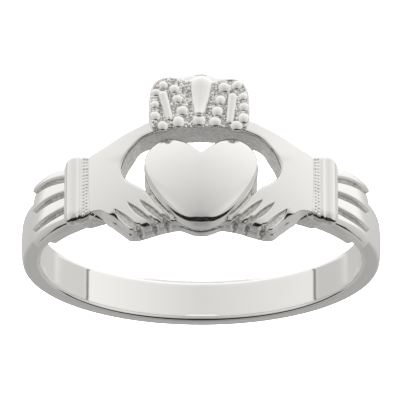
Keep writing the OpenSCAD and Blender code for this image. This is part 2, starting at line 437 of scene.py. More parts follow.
class Group:
    """A node group in the making, with named sockets."""

    def __init__(self, name: str, kind: str, inputs: dict[str, str], outputs: dict[str, str]) -> None:
        """Starts the group with its sockets.

        Args:
            name: the group's name.
            kind: the type of its tree.
            inputs: names of its inputs, with their socket types.
            outputs: names of its outputs, with their socket types.
        """
        self.tree = bpy.data.node_groups.new(name, kind)
        self.identifiers: dict[str, str] = {}
        for label, socket_kind in inputs.items():
            made = self.tree.interface.new_socket(label, in_out="INPUT", socket_type=socket_kind)
            self.identifiers[label] = made.identifier
        for label, socket_kind in outputs.items():
            self.tree.interface.new_socket(label, in_out="OUTPUT", socket_type=socket_kind)
        self.wire = Wiring(self.tree)
        self.given = self.tree.nodes.new("NodeGroupInput")
        self.result = self.tree.nodes.new("NodeGroupOutput")

    def socket(self, label: str) -> Socket:
        """The socket that gives a named input."""
        return self.given.outputs[label]

    def put(self, label: str, value: Socket) -> None:
        """Joins a socket to a named output."""
        self.tree.links.new(value, self.result.inputs[label])


class Effect(Group):
    """A shader group that more than one finish can use, with numbers in and out."""

    def __init__(self, name: str, inputs: tuple[str, ...], outputs: tuple[str, ...]) -> None:
        """Starts the group with its sockets.

        Args:
            name: the group's name.
            inputs: names of its inputs.
            outputs: names of its outputs.
        """
        numbers = [dict.fromkeys(labels, "NodeSocketFloat") for labels in (inputs, outputs)]
        super().__init__(name, "ShaderNodeTree", *numbers)


class Recipe(Group):
    """A geometry nodes tree with named inputs, which is run once and leaves a plain mesh."""

    def __init__(self, name: str, inputs: dict[str, float | int]) -> None:
        """Starts the tree.

        Args:
            name: the tree's name.
            inputs: names of its sizes and counts, with their values.
        """
        shape = {"Geometry": "NodeSocketGeometry"}
        numbers = {
            label: "NodeSocketInt" if isinstance(value, int) else "NodeSocketFloat"
            for label, value in inputs.items()
        }
        super().__init__(name, "GeometryNodeTree", shape | numbers, shape)
        self.inputs = inputs

    def ball(self, label: str, rounds: int) -> Socket:
        """A ball as wide as a named input says, whose 20 faces are split a number of times."""
        half = self.wire.math("MULTIPLY", self.socket(label), 0.5)
        return self.wire.add("GeometryNodeMeshIcoSphere", Radius=half, Subdivisions=rounds).outputs[0]

    def draw(self, low: float | Point, high: float | Point) -> Socket:
        """A random number, or three, for each point, drawn from the tree's seed.

        Args:
            low: the least that is drawn.
            high: the most that is drawn.

        Returns:
            The socket that gives what is drawn.
        """
        kind = "FLOAT_VECTOR" if isinstance(low, tuple) else "FLOAT"
        seed = self.socket("Seed")
        node = self.wire.add("FunctionNodeRandomValue", {"data_type": kind}, Min=low, Max=high, Seed=seed)
        return next(s for s in node.outputs if s.enabled)

    def sow(self, points: Socket, ball: Socket, scale: Socket, **more: Socket) -> Socket:
        """Sets a ball on every point.

        Args:
            points: where the balls go.
            ball: the ball.
            scale: how large each one is.
            more: further inputs of the node, by name.

        Returns:
            The socket that gives the balls.
        """
        return self.wire.add(
            "GeometryNodeInstanceOnPoints", Points=points, Instance=ball, Scale=scale, **more,
        ).outputs[0]

    def serve(self, host: Mesh, shape: Socket, name: str) -> Mesh:
        """Ends the tree and runs it on a host mesh.

        Args:
            host: what the tree starts from.
            shape: the socket that gives the shape.
            name: the new mesh's name.

        Returns:
            The mesh, in the host's frame.
        """
        placeholder = bpy.data.materials.get("unfinished") or bpy.data.materials.new("unfinished")
        real = self.wire.add("GeometryNodeRealizeInstances", Geometry=shape)
        smooth = self.wire.add("GeometryNodeSetShadeSmooth", Geometry=real.outputs[0])
        dressed = self.wire.add("GeometryNodeSetMaterial", Geometry=smooth.outputs[0], Material=placeholder)
        self.put("Geometry", dressed.outputs[0])
        body = put_in_scene(name + "_host", host)
        step = body.modifiers.new("recipe", "NODES")
        step.node_group = self.tree
        for label, value in self.inputs.items():
            step[self.identifiers[label]] = value
        ready = body.evaluated_get(bpy.context.evaluated_depsgraph_get())
        mesh = bpy.data.meshes.new_from_object(ready, depsgraph=bpy.context.evaluated_depsgraph_get())
        body.modifiers.clear()
        bpy.data.objects.remove(body)
        bpy.data.meshes.remove(host)
        mesh.name = name
        return mesh


def put_in_scene(name: str, data: bpy.types.ID) -> bpy.types.Object:
    """Makes an object of a mesh, a lamp or a camera and puts it in the scene.

    Args:
        name: the object's name.
        data: the mesh, lamp or camera.

    Returns:
        The object.
    """
    made = bpy.data.objects.new(name, data)
    bpy.context.scene.collection.objects.link(made)
    return made


# Finishes


@dataclass(frozen=True)
class WheelMarks:
    """The faint marks of the polishing wheel: a little roughness and a very low relief."""

    # lines and clouds to a metre, the lines along the wheel's run and across it
    lines: Point = (300, 2600, 2600)
    clouds: float = 420.0
    lines_detail: float = 3.0
    lines_roughness: float = 0.6
    clouds_detail: float = 2.0

    def group(self) -> Tree:
        """Builds the shader group.

        Returns:
            The group, which puts out a roughness and a height.
        """
        group = Effect("polish_marks", ("Size", "Roughness", "Spread", "Depth"), ("Roughness", "Height"))
        w = group.wire
        size, depth = group.socket("Size"), group.socket("Depth")
        place = w.add("ShaderNodeTexCoord").outputs["Object"]
        stretched = w.add("ShaderNodeMapping", Vector=place, Scale=self.lines)
        lines = w.add(
            "ShaderNodeTexNoise", Vector=stretched.outputs[0], Scale=size, Detail=self.lines_detail,
            Roughness=self.lines_roughness,
        )
        pace = w.math("MULTIPLY", size, self.clouds)
        cloud = w.add("ShaderNodeTexNoise", Vector=place, Scale=pace, Detail=self.clouds_detail)
        mixed = w.math("MULTIPLY", lines.outputs[0], cloud.outputs[0])
        rough = w.math("MULTIPLY_ADD", mixed, group.socket("Spread"), group.socket("Roughness"))
        group.put("Roughness", rough)
        group.put("Height", w.math("MULTIPLY", lines.outputs[0], depth))
        return group.tree


@dataclass(frozen=True)
class CastSkin:
    """The rough skin that a casting keeps where no wheel reaches it."""

    # lumps and pits to a metre, and how high the lumps are for each pit's depth
    lumps: float = 5200.0
    pits: float = 7500.0
    lump_share: float = 1.4
    lumps_detail: float = 4.0
    lumps_roughness: float = 0.65
    # the height that isn't darkened
    crest: float = 1.35

    def group(self) -> Tree:
        """Builds the shader group.

        Returns:
            The group, which puts out a tone and a height.
        """
        group = Effect("cast_grain", ("Size", "Depth", "Shade"), ("Tone", "Height"))
        w = group.wire
        size = group.socket("Size")
        place = w.add("ShaderNodeTexCoord").outputs["Object"]
        lumps = w.add(
            "ShaderNodeTexNoise", Vector=place, Scale=w.math("MULTIPLY", size, self.lumps),
            Detail=self.lumps_detail, Roughness=self.lumps_roughness,
        )
        pits = w.add(
            "ShaderNodeTexVoronoi", {"feature": "SMOOTH_F1"}, Vector=place,
            Scale=w.math("MULTIPLY", size, self.pits),
        )
        height = w.math("MULTIPLY_ADD", lumps.outputs[0], self.lump_share, pits.outputs["Distance"])
        dip = w.math("SUBTRACT", self.crest, height)
        group.put("Tone", w.math("SUBTRACT", 1.0, w.math("MULTIPLY", dip, group.socket("Shade"))))
        group.put("Height", w.math("MULTIPLY", height, group.socket("Depth")))
        return group.tree


@dataclass(frozen=True)
class Silver:
    """Cast silver, polished where a wheel reaches it, grey and grained elsewhere, with painted shade in the
    deepest hollows.
    """

    name: str = "polished_silver"
    bright: Point = (0.935, 0.925, 0.905)
    dull: Point = (0.72, 0.71, 0.69)
    roughness: float = 0.05
    dull_roughness: float = 0.26
    marks_size: float = 1.0
    marks_spread: float = 0.05
    marks_depth: float = 0.02
    grain_size: float = 1.0
    grain_depth: float = 1.0
    grain_shade: float = 0.45
    # the grain attribute turns the colour dull over the first span, and darker with painted shade over the
    # second
    dull_over: Span = (0.0, 0.6)
    painted_shade_over: Span = (0.65, 1.0)
    painted_shade: float = 0.8
    bump_strength: float = 0.5
    bump_height: float = 0.00004

    def material(self, marks: Tree, grain: Tree) -> bpy.types.Material:
        """The finish as a material.

        Args:
            marks: the group of the polishing marks.
            grain: the group of the cast skin.

        Returns:
            The material, which reads the grain attribute of a piece.
        """
        made = bpy.data.materials.new(self.name)
        made.use_nodes = True
        made.node_tree.nodes.clear()
        w = Wiring(made.node_tree)
        polish = w.add(
            "ShaderNodeGroup", {"node_tree": marks}, Size=self.marks_size, Roughness=self.roughness,
            Spread=self.marks_spread, Depth=self.marks_depth,
        )
        cast = w.add(
            "ShaderNodeGroup", {"node_tree": grain}, Size=self.grain_size, Depth=self.grain_depth,
            Shade=self.grain_shade,
        )
        mask = w.add("ShaderNodeAttribute", {"attribute_name": "grain"}).outputs["Fac"]
        # painted shade: the roughest places, the deepest hollows, are darkened
        deep = w.rise(mask, self.painted_shade_over, 1.0, self.painted_shade)
        tone = w.add(
            "ShaderNodeMix", {"data_type": "RGBA", "blend_type": "MULTIPLY"}, Factor=1.0,
            A=(*self.dull, 1.0), B=w.math("MULTIPLY", cast.outputs["Tone"], deep),
        )
        colour = w.add(
            "ShaderNodeMix", {"data_type": "RGBA"}, Factor=w.rise(mask, self.dull_over, 0.0, 1.0),
            A=(*self.bright, 1.0), B=tone.outputs["Result"],
        )
        relief = w.math("MULTIPLY_ADD", cast.outputs["Height"], mask, polish.outputs["Height"])
        bump = w.add(
            "ShaderNodeBump", Strength=self.bump_strength, Distance=self.bump_height, Height=relief,
        )
        metal = w.add(
            "ShaderNodeBsdfPrincipled", Metallic=1.0, Base_Color=colour.outputs["Result"],
            Roughness=w.math("MULTIPLY_ADD", mask, self.dull_roughness, polish.outputs["Roughness"]),
            Normal=bump.outputs[0],
        )
        w.add("ShaderNodeOutputMaterial", Surface=metal.outputs[0])
        return made


@dataclass(frozen=True)
class Paper:
    """The floor's pale paper."""

    name: str = "pale_floor"
    grey: float = 0.90
    roughness: float = 0.9
    shine: float = 0.1

    def material(self) -> bpy.types.Material:
        """The finish as a material.

        Returns:
            The material.
        """
        made = bpy.data.materials.new(self.name)
        made.use_nodes = True
        face = made.node_tree.nodes["Principled BSDF"]
        face.inputs["Base Color"].default_value = (self.grey, self.grey, self.grey, 1)
        face.inputs["Roughness"].default_value = self.roughness
        face.inputs["Specular IOR Level"].default_value = self.shine
        return made


class Bench:
    """Dresses the finished parts in silver and hands them to the frame."""

    def __init__(self) -> None:
        """Mixes the ring's finish."""
        self.silver = Silver().material(WheelMarks().group(), CastSkin().group())

    def piece(self, mesh: Mesh) -> None:
        """Makes a mesh a piece of the ring.

        Args:
            mesh: the piece's mesh, where the ring rests.
        """
        made = put_in_scene(mesh.name, mesh)
        mesh.materials.clear()
        mesh.materials.append(self.silver)
        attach(made, "root")
        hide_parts("claddagh_ring")
        LOG.info("%s: %d points, %d faces", mesh.name, len(mesh.vertices), len(mesh.polygons))

    def pair(self, skin: Skin, name: str, grain: Form) -> None:
        """Makes a part and its mirror image two pieces of the ring.

        Args:
            skin: the part on the right.
            name: what both names start with.
            grain: how rough the casting is left at places, where the roughest places also get painted
                shade.
        """
        for side in Side:
            self.piece(skin.mesh(f"{name}_{side.name.lower()}", grain, side))

    def laid(self, mesh: Mesh) -> None:
        """Lays a mesh down from the ring's own frame and makes it a piece."""
        mesh.transform(LAY.matrix)
        self.piece(mesh)


# The band


def quarter(u: float, v: float, r: float, start: float) -> list[tuple[float, float]]:
    """A quarter turn of a rounded corner.

    Args:
        u: place of its middle, out from the finger.
        v: place of its middle, along the finger.
        r: its radius.
        start: the angle at which it starts, in degrees.

    Returns:
        Its points.
    """
    turns = [math.radians(a) for a in np.linspace(start, start + 90, 7)]
    return [(u + r * math.cos(a), v + r * math.sin(a)) for a in turns]


@dataclass
class Shank:
    """The plain band, bent from one profile, whose ends are hidden in the sleeves."""

    sizes: Sizes = SIZES
    from_angle: float = 60.0
    tongue_angle: float = 63.3
    # what is left of the band's thickness and width at its hidden ends
    tongue_t: float = 0.8
    tongue_w: float = 0.9
    edge_r: float = 0.16
    inner_edge_r: float = 0.24
    stretches: int = 220

    # turns a band bent in x and y about z into one round the finger
    UPRIGHT = Matrix(((0, 1, 0, 0), (0, 0, 1, 0), (1, 0, 0, 0), (0, 0, 0, 1)))

    def profile(self) -> Mesh:
        """The band's section, as distance out from the finger and place along it.

        Returns:
            The section, as a closed run of edges.
        """
        s = self.sizes
        half = s.band_w / 2
        bow = (s.band_drop**2 + half**2) / (2 * s.band_drop)
        outer, inner = self.edge_r, self.inner_edge_r
        rim = s.band_t - s.band_drop - outer
        flank = np.linspace(inner, rim, 8)[1:-1]
        back = np.linspace(-half + outer, half - outer, 19)[1:-1]
        points = [
            *quarter(inner, -half + inner, inner, 180),
            *[(u, -half) for u in flank],
            *quarter(rim, -half + outer, outer, 270),
            *[(s.band_t - bow + math.sqrt(bow**2 - v * v), v) for v in back],
            *quarter(rim, half - outer, outer, 0),
            *[(u, half) for u in flank[::-1]],
            *quarter(inner, half - inner, inner, 90),
            *[(0.0, v) for v in np.linspace(half - inner, -half + inner, 16)[1:-1]],
        ]
        mesh = bpy.data.meshes.new("shank_profile")
        count = len(points)
        edges = [(k, (k + 1) % count) for k in range(count)]
        mesh.from_pydata([(u, v, 0) for u, v in points], edges, [])
        return mesh

    def _tuck(self, mesh: Mesh) -> None:
        """Draws the band's ends in a little, so that they lie inside the sleeves.

        Args:
            mesh: the band in the ring's own frame.
        """
        mid = self.sizes.bore_r + self.sizes.band_t / 2
        for point in mesh.vertices:
            x, v, z = point.co
            if math.degrees(math.atan2(abs(x), z)) < self.tongue_angle:
                r = math.hypot(x, z)
                grow = (mid + (r - mid) * self.tongue_t) / r
                point.co = (x * grow, v * self.tongue_w, z * grow)

    def build(self, bench: Bench) -> None:
        """Bends the profile round the finger.

        Args:
            bench: takes the piece.
        """
        recipe = Recipe("bent_band", {
            "Finger radius": self.sizes.bore_r, "Start": math.radians(self.from_angle),
            "Sweep": math.radians(360 - 2 * self.from_angle), "Stretches": self.stretches,
        })
        w = recipe.wire
        arc = w.add(
            "GeometryNodeCurveArc", Radius=recipe.socket("Finger radius"),
            Start_Angle=recipe.socket("Start"), Sweep_Angle=recipe.socket("Sweep"),
            Resolution=recipe.socket("Stretches"),
        )
        upright = w.add("GeometryNodeSetCurveNormal", {"mode": "Z_UP"}, Curve=arc.outputs[0])
        section = w.add("GeometryNodeMeshToCurve", Mesh=recipe.socket("Geometry"))
        bent = w.add(
            "GeometryNodeCurveToMesh", Curve=upright.outputs[0], Profile_Curve=section.outputs[0],
            Fill_Caps=True,
        )
        mesh = recipe.serve(self.profile(), bent.outputs[0], "shank")
        mesh.transform(self.UPRIGHT)
        self._tuck(mesh)
        bench.laid(mesh)


# Sleeves and cuffs


@dataclass
class Sleeve:
    """The pleated sleeve between the band and a cuff, with grooves that fan out."""

    sizes: Sizes = SIZES
    step: float = 0.045
    # angles from the middle of the head, in degrees
    start_angle: float = 38.0
    pleats_angle: float = 41.7
    end_angle: float = 63.5
    # the pleats' back: its height over the finger at the cuff, and how far out its middle lies
    top_t: float = 1.65
    lean: float = 1.0
    pleat_t: float = 0.62
    pleat_round: float = 0.10
    # the pleats' upper and lower sides at the cuff, how far they fan out and how round they are
    high_v: float = 1.78
    high_fan: float = 0.20
    high_over: Span = (0.0, 0.6)
    high_round: float = 0.46
    low_v: float = 1.56
    low_fan: float = 0.17
    low_round: float = 0.48
    low_rounder: float = 0.36
    low_over: Span = (0.1, 0.8)
    # each pleat's drop from its lower edge to its upper one, and how that bends
    drop: float = 0.16
    drop_power: float = 1.5
    # the lowest pleat's lower edge at the cuff and how far it fans out, and the highest one's upper edge
    drop_low: float = 1.55
    drop_fan: float = 0.15
    drop_high: float = 2.1
    # the slanted face that ends the pleats
    bevel_slope: float = 78.0
    bevel_out: float = 9.70
    bevel_round: float = 0.05
    overhang: float = 0.22
    overhang_round: float = 0.12
    # the grooves' half width, how much they swell halfway and narrow to the end, and their depth
    groove_half: float = 0.080
    groove_swell: float = 0.040
    groove_taper: float = 0.045
    groove_t: float = 0.29
    groove_rise: float = 0.35
    groove_over: Span = (0.6, 1.0)
    floor_round: float = 0.05
    crest_round: float = 0.13
    # the plain body under the pleats
    body_half: float = 1.40
    body_sunk: float = 0.42
    body_short: float = 0.05
    body_round: float = 0.25
    body_fillet: float = 0.04
    # the thin lip along the lower side
    lip_v: float = 1.50
    lip_fan: float = 0.12
    lip_sunk: float = 0.60
    lip_r: float = 0.10
    lip_short: float = 0.25
    lip_fillet: float = 0.03
    bore_round: float = 0.10
    # how rough the grooves and the slanted face are left, and over what depth it sets in; the grooves go
    # rough enough for painted shade
    groove_grain: float = 0.75
    groove_edge: Span = (-0.03, 0.02)
    groove_depth: Span = (0.12, 0.2)
    groove_lowest: float = 0.5
    bevel_grain: float = 0.5
    bevel_edge: Span = (-0.03, 0.0)

    # each groove's place along the finger at the cuff and at the far end, and how far it bows
    LINES: Rows = ((0.90, 1.37, 0.12), (0.13, 0.27, 0.05), (-0.69, -0.78, -0.03))
    BOX = ((5.2, -1.9, 3.5), (9.7, 2.1, 8.7))

    def _spots(self, p: Places) -> tuple[Array, Array]:
        """Where points lie on the sleeve.

        Args:
            p: the points.

        Returns:
            Their height over the sleeve's back, and the share of the way from the cuff to the end.
        """
        c = self.sizes.cuff_angle
        r = self.sizes.bore_r + self.top_t
        top_r = math.hypot(r * math.sin(c), r * math.cos(c) - self.lean)
        turn = np.degrees(np.arctan2(p.x, p.z)) - self.pleats_angle
        return np.hypot(p.x, p.z - self.lean) - top_r, turn / (self.end_angle - self.pleats_angle)

    def _lines(self, t: Array) -> list[Array]:
        """Where the grooves run at shares of the way along the sleeve."""
        return [a + (b - a) * t + bow * np.sin(np.pi * t) for a, b, bow in self.LINES]

    def _groove(self, v: Array, share: Array) -> Array:
        """Distance from the nearest groove's side; what lies in a groove counts below zero.

        Args:
            v: places along the finger.
            share: shares of the way along the sleeve.

        Returns:
            The distances.
        """
        t = np.clip(share, 0, 1.1)
        swell = self.groove_swell * np.sin(np.pi * np.clip(t, 0, 1))
        away = [np.abs(v - line) for line in self._lines(t)]
        near = np.minimum(np.minimum(away[0], away[1]), away[2])
        return near - (self.groove_half + swell - self.groove_taper * t)

    def _shingle(self, v: Array, t: Array) -> Array:
        """How far each pleat's back drops from its lower edge, where it is highest, to its upper one.

        Args:
            v: places along the finger.
            t: shares of the way along the sleeve, from 0 to 1.

        Returns:
            The drops.
        """
        edges = [-self.drop_low - self.drop_fan * t, *self._lines(t)[::-1], self.drop_high]
        drop = np.zeros(np.broadcast(v, t).shape)
        for low, high in zip(edges, edges[1:]):
            share = np.clip((v - low) / (high - low), 0, 1)
            drop = np.where(v >= low, self.drop * share**self.drop_power, drop)
        return drop

    def _bevel(self, p: Places) -> Array:
        """Distance outside the slanted face that ends the pleats."""
        slant = math.radians(self.bevel_slope)
        return p.x * math.sin(slant) + p.z * math.cos(slant) - self.bevel_out

    def _pleats(self, p: Places, even: Array, share: Array, past_end: Array) -> Array:
        """The pleats and the grooves between them.

        Args:
            p: the points.
            even: their height over the sleeve's back.
            share: their share of the way along the sleeve.
            past_end: how far they lie past its end.

        Returns:
            How far the points lie outside the pleats.
        """
        t = np.clip(share, 0, 1)
        top = even + self._shingle(p.v, t)
        high = p.v - (self.high_v + self.high_fan * ease(t, *self.high_over))
        low = -(p.v + self.low_v + self.low_fan * t)
        low_round = self.low_round + self.low_rounder * ease(t, *self.low_over)
        pleats = trim(trim(top, high, self.high_round), low, low_round)
        pleats = trim(pleats, -(top + self.pleat_t), self.pleat_round)
        pleats = trim(pleats, self._bevel(p), self.bevel_round)
        pleats = trim(pleats, past_end - self.overhang, self.overhang_round)
        floor = self.groove_t * (1 - self.groove_rise * ease(share, *self.groove_over))
        groove = trim(self._groove(p.v, share), -(even + floor), self.floor_round)
        return trim(pleats, -groove, self.crest_round)

    def form(self, p: Places) -> Array:
        """The whole sleeve: pleats, body and lip.

        Args:
            p: the points.

        Returns:
            How far they lie outside the sleeve.
        """
        even, share = self._spots(p)
        t = np.clip(share, 0, 1)
        top = even + self._shingle(p.v, t)
        end = math.radians(self.end_angle)
        past_end = p.x * math.cos(end) - p.z * math.sin(end)
        body = np.maximum(top + self.body_sunk, np.abs(p.v) - self.body_half)
        body = trim(body, past_end + self.body_short, self.body_round)
        lip = np.hypot(p.v + self.lip_v + self.lip_fan * t, top + self.lip_sunk) - self.lip_r
        lip = np.maximum(lip, past_end + self.lip_short)
        whole = join(self._pleats(p, even, share, past_end), body, self.body_fillet)
        start = math.radians(self.start_angle)
        before = p.z * math.sin(start) - p.x * math.cos(start)
        whole = np.maximum(join(whole, lip, self.lip_fillet), before)
        return trim(whole, self.sizes.bore_r - p.rho, self.bore_round)

    def grain(self, p: Places) -> Array:
        """How rough the casting is left: the floors of the grooves and the slanted face, where the grooves'
        floors also get painted shade.

        Args:
            p: the points.

        Returns:
            The roughness, from 0 to 1, whose highest values also bring painted shade.
        """
        top, share = self._spots(p)
        # groove floors: rough cast skin, and rough enough to get painted shade
        grooves = ease(-self._groove(p.v, share), *self.groove_edge) * ease(-top, *self.groove_depth)
        grooves = self.groove_grain * grooves * (top > -self.groove_lowest)
        return np.maximum(grooves, self.bevel_grain * ease(self._bevel(p), *self.bevel_edge))

    def build(self, bench: Bench) -> None:
        """Builds the sleeve on both sides.

        Args:
            bench: takes the pieces.
        """
        bench.pair(Skin(self.form, *self.BOX, self.step), "sleeve", self.grain)


@dataclass
class Cuff:
    """A cuff: a roll along the finger with a flat band beside it, on its block.

    Its sizes beside the roll are counted from the roll's middle, away from the hand.
    """

    sizes: Sizes = SIZES
    step: float = 0.05
    roll_r: float = 0.5
    roll_beside: float = 0.02
    # the flat band: how far out it lies, laps under the roll and reaches towards the hand
    flat_r: float = 10.57
    flat_lap: float = 0.1
    flat_w: float = 0.68
    flat_round: float = 0.14
    flat_fillet: float = 0.10
    # the bed of the beaded line
    bed_r: float = 10.47
    bed_w: float = 1.24
    bed_fillet: float = 0.06
    # the upper end, and how it drops over the roll and over the bed
    high_v: float = 1.97
    high_round: float = 0.28
    roll_drop: float = 0.5
    roll_from: float = -0.4
    roll_over: float = 0.95
    bed_drop: float = 0.2
    bed_over: Span = (0.5, 1.0)
    # the lower end, and how it rises towards the hand
    low_v: float = 1.80
    low_round: float = 0.55
    low_rise: float = 0.24
    low_from: float = 0.3
    low_over: float = 1.3
    # how far in the roll, the flat band and the bed reach
    foot_r: float = 9.86
    foot_round: float = 0.12
    # the block underneath
    block_r: float = 10.2
    block_beside: float = -0.36
    block_half: float = 0.84
    block_v: float = 1.52
    block_round: float = 0.45
    block_fillet: float = 0.06
    bore_round: float = 0.10
    # how rough the bed and the block's ends are left, and where
    bed_grain: float = 0.1
    bed_from: Span = (0.70, 0.74)
    bed_lowest: float = 10.3
    block_grain: float = 0.35
    block_from: float = 1.44
    block_highest: float = 9.9
    # the beads
    bead_r: float = 10.44
    bead_d: float = 0.20
    bead_count: int = 18
    bead_rounds: int = 3
    bead_uneven: Span = (0.80, 1.10)
    bead_seed: int = 4

    # each row of beads: its place beside the roll, and where it starts and ends along the finger
    ROWS: Rows = ((-0.81, -1.42, 1.68), (-1.00, -1.34, 1.63))
    BOX = ((4.4, -2.0, 5.4), (7.5, 2.2, 9.4))

    def _turned(self, x: Array, z: Array) -> tuple[Array, Array]:
        """Places beside the roll, and out from the finger along the roll's own radius."""
        s, c = math.sin(self.sizes.cuff_angle), math.cos(self.sizes.cuff_angle)
        return x * c - z * s, x * s + z * c

    def form(self, p: Places) -> Array:
        """The whole cuff.

        Args:
            p: the points.

        Returns:
            How far they lie outside the cuff.
        """
        beside, out = self._turned(p.x, p.z)
        roll = np.hypot(beside - self.roll_beside, out - self.sizes.cuff_r) - self.roll_r
        flat = np.maximum(out - self.flat_r, beside - self.flat_lap)
        flat = trim(flat, -(beside + self.flat_w), self.flat_round)
        bed = np.maximum(np.maximum(p.rho - self.bed_r, beside), -(beside + self.bed_w))
        head = join(join(roll, flat, self.flat_fillet), bed, self.bed_fillet)
        over_roll = np.clip((beside - self.roll_from) / self.roll_over, 0, 1) ** 2
        drop = self.roll_drop * over_roll + self.bed_drop * ease(-beside, *self.bed_over)
        head = trim(head, p.v - self.high_v + drop, self.high_round)
        handward = np.clip((self.low_from - beside) / self.low_over, 0, 1)
        head = trim(head, -p.v - self.low_v + self.low_rise * handward, self.low_round)
        head = trim(head, self.foot_r - out, self.foot_round)
        block = np.maximum(out - self.block_r, np.abs(beside - self.block_beside) - self.block_half)
        block = trim(block, np.abs(p.v) - self.block_v, self.block_round)
        whole = join(head, block, self.block_fillet)
        return trim(whole, self.sizes.bore_r + self.sizes.tucked - p.rho, self.bore_round)

    def grain(self, p: Places) -> Array:
        """How rough the casting is left: the bed of the beaded line and the block's ends.

        Args:
            p: the points.

        Returns:
            The roughness, from 0 to 1.
        """
        beside, out = self._turned(p.x, p.z)
        bed = self.bed_grain * ease(-beside, *self.bed_from) * (p.rho > self.bed_lowest)
        ends = self.block_grain * (np.abs(p.v) > self.block_from) * (out < self.block_highest)
        return np.maximum(bed, ends)

    def _beads(self) -> Mesh:
        """The fine beads beside the roll, on both sides.

        Returns:
            The beads, in the ring's own frame.
        """
        s, c = math.sin(self.sizes.cuff_angle), math.cos(self.sizes.cuff_angle)
        ends: list[Point] = []
        for beside, low, high in self.ROWS:
            out = math.sqrt(self.bead_r**2 - beside**2)
            x, z = beside * c + out * s, out * c - beside * s
            ends += [(x, low, z), (x, high, z), (-x, low, z), (-x, high, z)]
        host = bpy.data.meshes.new("bead_lines")
        host.from_pydata(ends, [(k, k + 1) for k in range(0, len(ends), 2)], [])
        recipe = Recipe("beaded_line", {
            "Bead": self.bead_d, "Count": self.bead_count, "Seed": self.bead_seed,
        })
        w = recipe.wire
        line = w.add("GeometryNodeMeshToCurve", Mesh=recipe.socket("Geometry"))
        spots = w.add("GeometryNodeResampleCurve", Curve=line.outputs[0], Count=recipe.socket("Count"))
        rows = recipe.sow(
            spots.outputs[0], recipe.ball("Bead", self.bead_rounds), recipe.draw(*self.bead_uneven),
        )
        return recipe.serve(host, rows, "beaded_lines")

    def build(self, bench: Bench) -> None:
        """Builds both cuffs and their beaded lines.

        Args:
            bench: takes the pieces.
        """
        bench.pair(Skin(self.form, *self.BOX, self.step), "cuff", self.grain)
        bench.laid(self._beads())


# Hands


@dataclass
class Opening:
    """The opening round the heart, which narrows towards the finger but not under the crown."""

    sizes: Sizes = SIZES
    width: float = 8.25
    # its lower end at the middle, as a share of its top
    foot: float = 0.35
    # how far the walls lean in: none at a distance from the finger's axis, and all of it a depth below
    lean: float = 0.17
    lean_r: float = 10.6
    lean_depth: float = 1.9
    # under the crown the opening is higher and its wall leans less
    crown_room: float = 0.10
    crown_room_over: Span = (1.6, 2.2)
    crown_lean: float = 0.2
    crown_lean_over: Span = (1.3, 2.1)

    SHAPE: Rows = (
        (0.00, 1.00), (0.40, 0.975), (0.60, 0.92), (0.77, 0.82), (0.92, 0.62), (1.00, 0.35),
        (0.985, 0.15), (0.94, 0.01), (0.86, -0.10), (0.75, -0.22), (0.62, -0.36),
    )

    def __post_init__(self) -> None:
        """Draws the outline of its right half."""
        top = self.sizes.opening_top
        self.outline = Outline.drawn(self.SHAPE, self.width / 2, top).closed(
            (PAST_MIDDLE, -self.foot * top), (PAST_MIDDLE, top),
        )

    def depth(self, p: Places) -> Array:
        """How far points lie outside the opening.

        Args:
            p: the points.

        Returns:
            The distances; what is inside counts below zero.
        """
        deep = np.clip((self.lean_r - p.rho) / self.lean_depth, 0, 1)
        room = self.crown_room * ease(p.v, *self.crown_room_over)
        lean = self.lean - self.crown_lean * ease(p.v, *self.crown_lean_over)
        return self.outline.depth(p.side, p.v - room) + deep * lean


@dataclass
class FingerGrooves:
    """The leaf-shaped grooves between the fingers, and the notches between the fingertips."""

    sizes: Sizes = SIZES
    reach: float = 2.75
    length: float = 1.95
    width: float = 0.27
    slope: float = 41.0
    bow: float = 0.05
    # the leaf stays open towards the fingertips: shares of its half width and half length
    tail_w: float = 0.72
    tail_at: float = 0.82
    tail_len: float = 0.42
    # the notches' slant, half width and upper end
    notch_slant: float = 0.7
    notch_half: float = 0.03
    notch_top: float = 0.10

    # each groove's middle as shares of the cuff's place and the reach, its length and its width
    SPOTS: Rows = (
        (0.375, -0.635, 0.92, 1.00), (0.475, -0.645, 0.86, 0.90), (0.572, -0.760, 0.86, 0.85),
    )

    def cut(self, p: Places) -> tuple[Array, Array, Array]:
        """Where points lie to the grooves, seen from the front.

        Args:
            p: the points.

        Returns:
            Distance from the nearest leaf, how far along it, and distance from the nearest notch.
        """
        s, c = math.sin(math.radians(self.slope)), math.cos(math.radians(self.slope))
        shape = np.broadcast(p.side, p.v).shape
        leaf, along, notch = (np.full(shape, fill) for fill in (np.inf, 0.0, np.inf))
        for across, down, length, width in self.SPOTS:
            dx, dv = p.side - across * self.sizes.cuff_x, p.v - down * self.reach
            half_l, half_w = length * self.length / 2, width * self.width / 2
            a = dx * c + dv * s
            b = dv * c - dx * s + self.bow * (1 - (a / half_l) ** 2)
            r = (half_l**2 + half_w**2) / (2 * half_w)
            one = np.maximum(np.hypot(a, b - r + half_w), np.hypot(a, b + r - half_w)) - r
            tail = np.abs(a + half_l * self.tail_at) - half_l * self.tail_len
            one = np.minimum(one, np.maximum(np.abs(b) - half_w * self.tail_w, tail))
            foot_x, foot_v = dx + half_l * c, dv + half_l * s
            slot = np.abs(foot_x - self.notch_slant * foot_v) - self.notch_half
            slot = np.maximum(slot, foot_v - self.notch_top)
            along = np.where(one <= leaf, a / half_l, along)
            leaf, notch = np.minimum(leaf, one), np.minimum(notch, slot)
        return leaf, along, notch


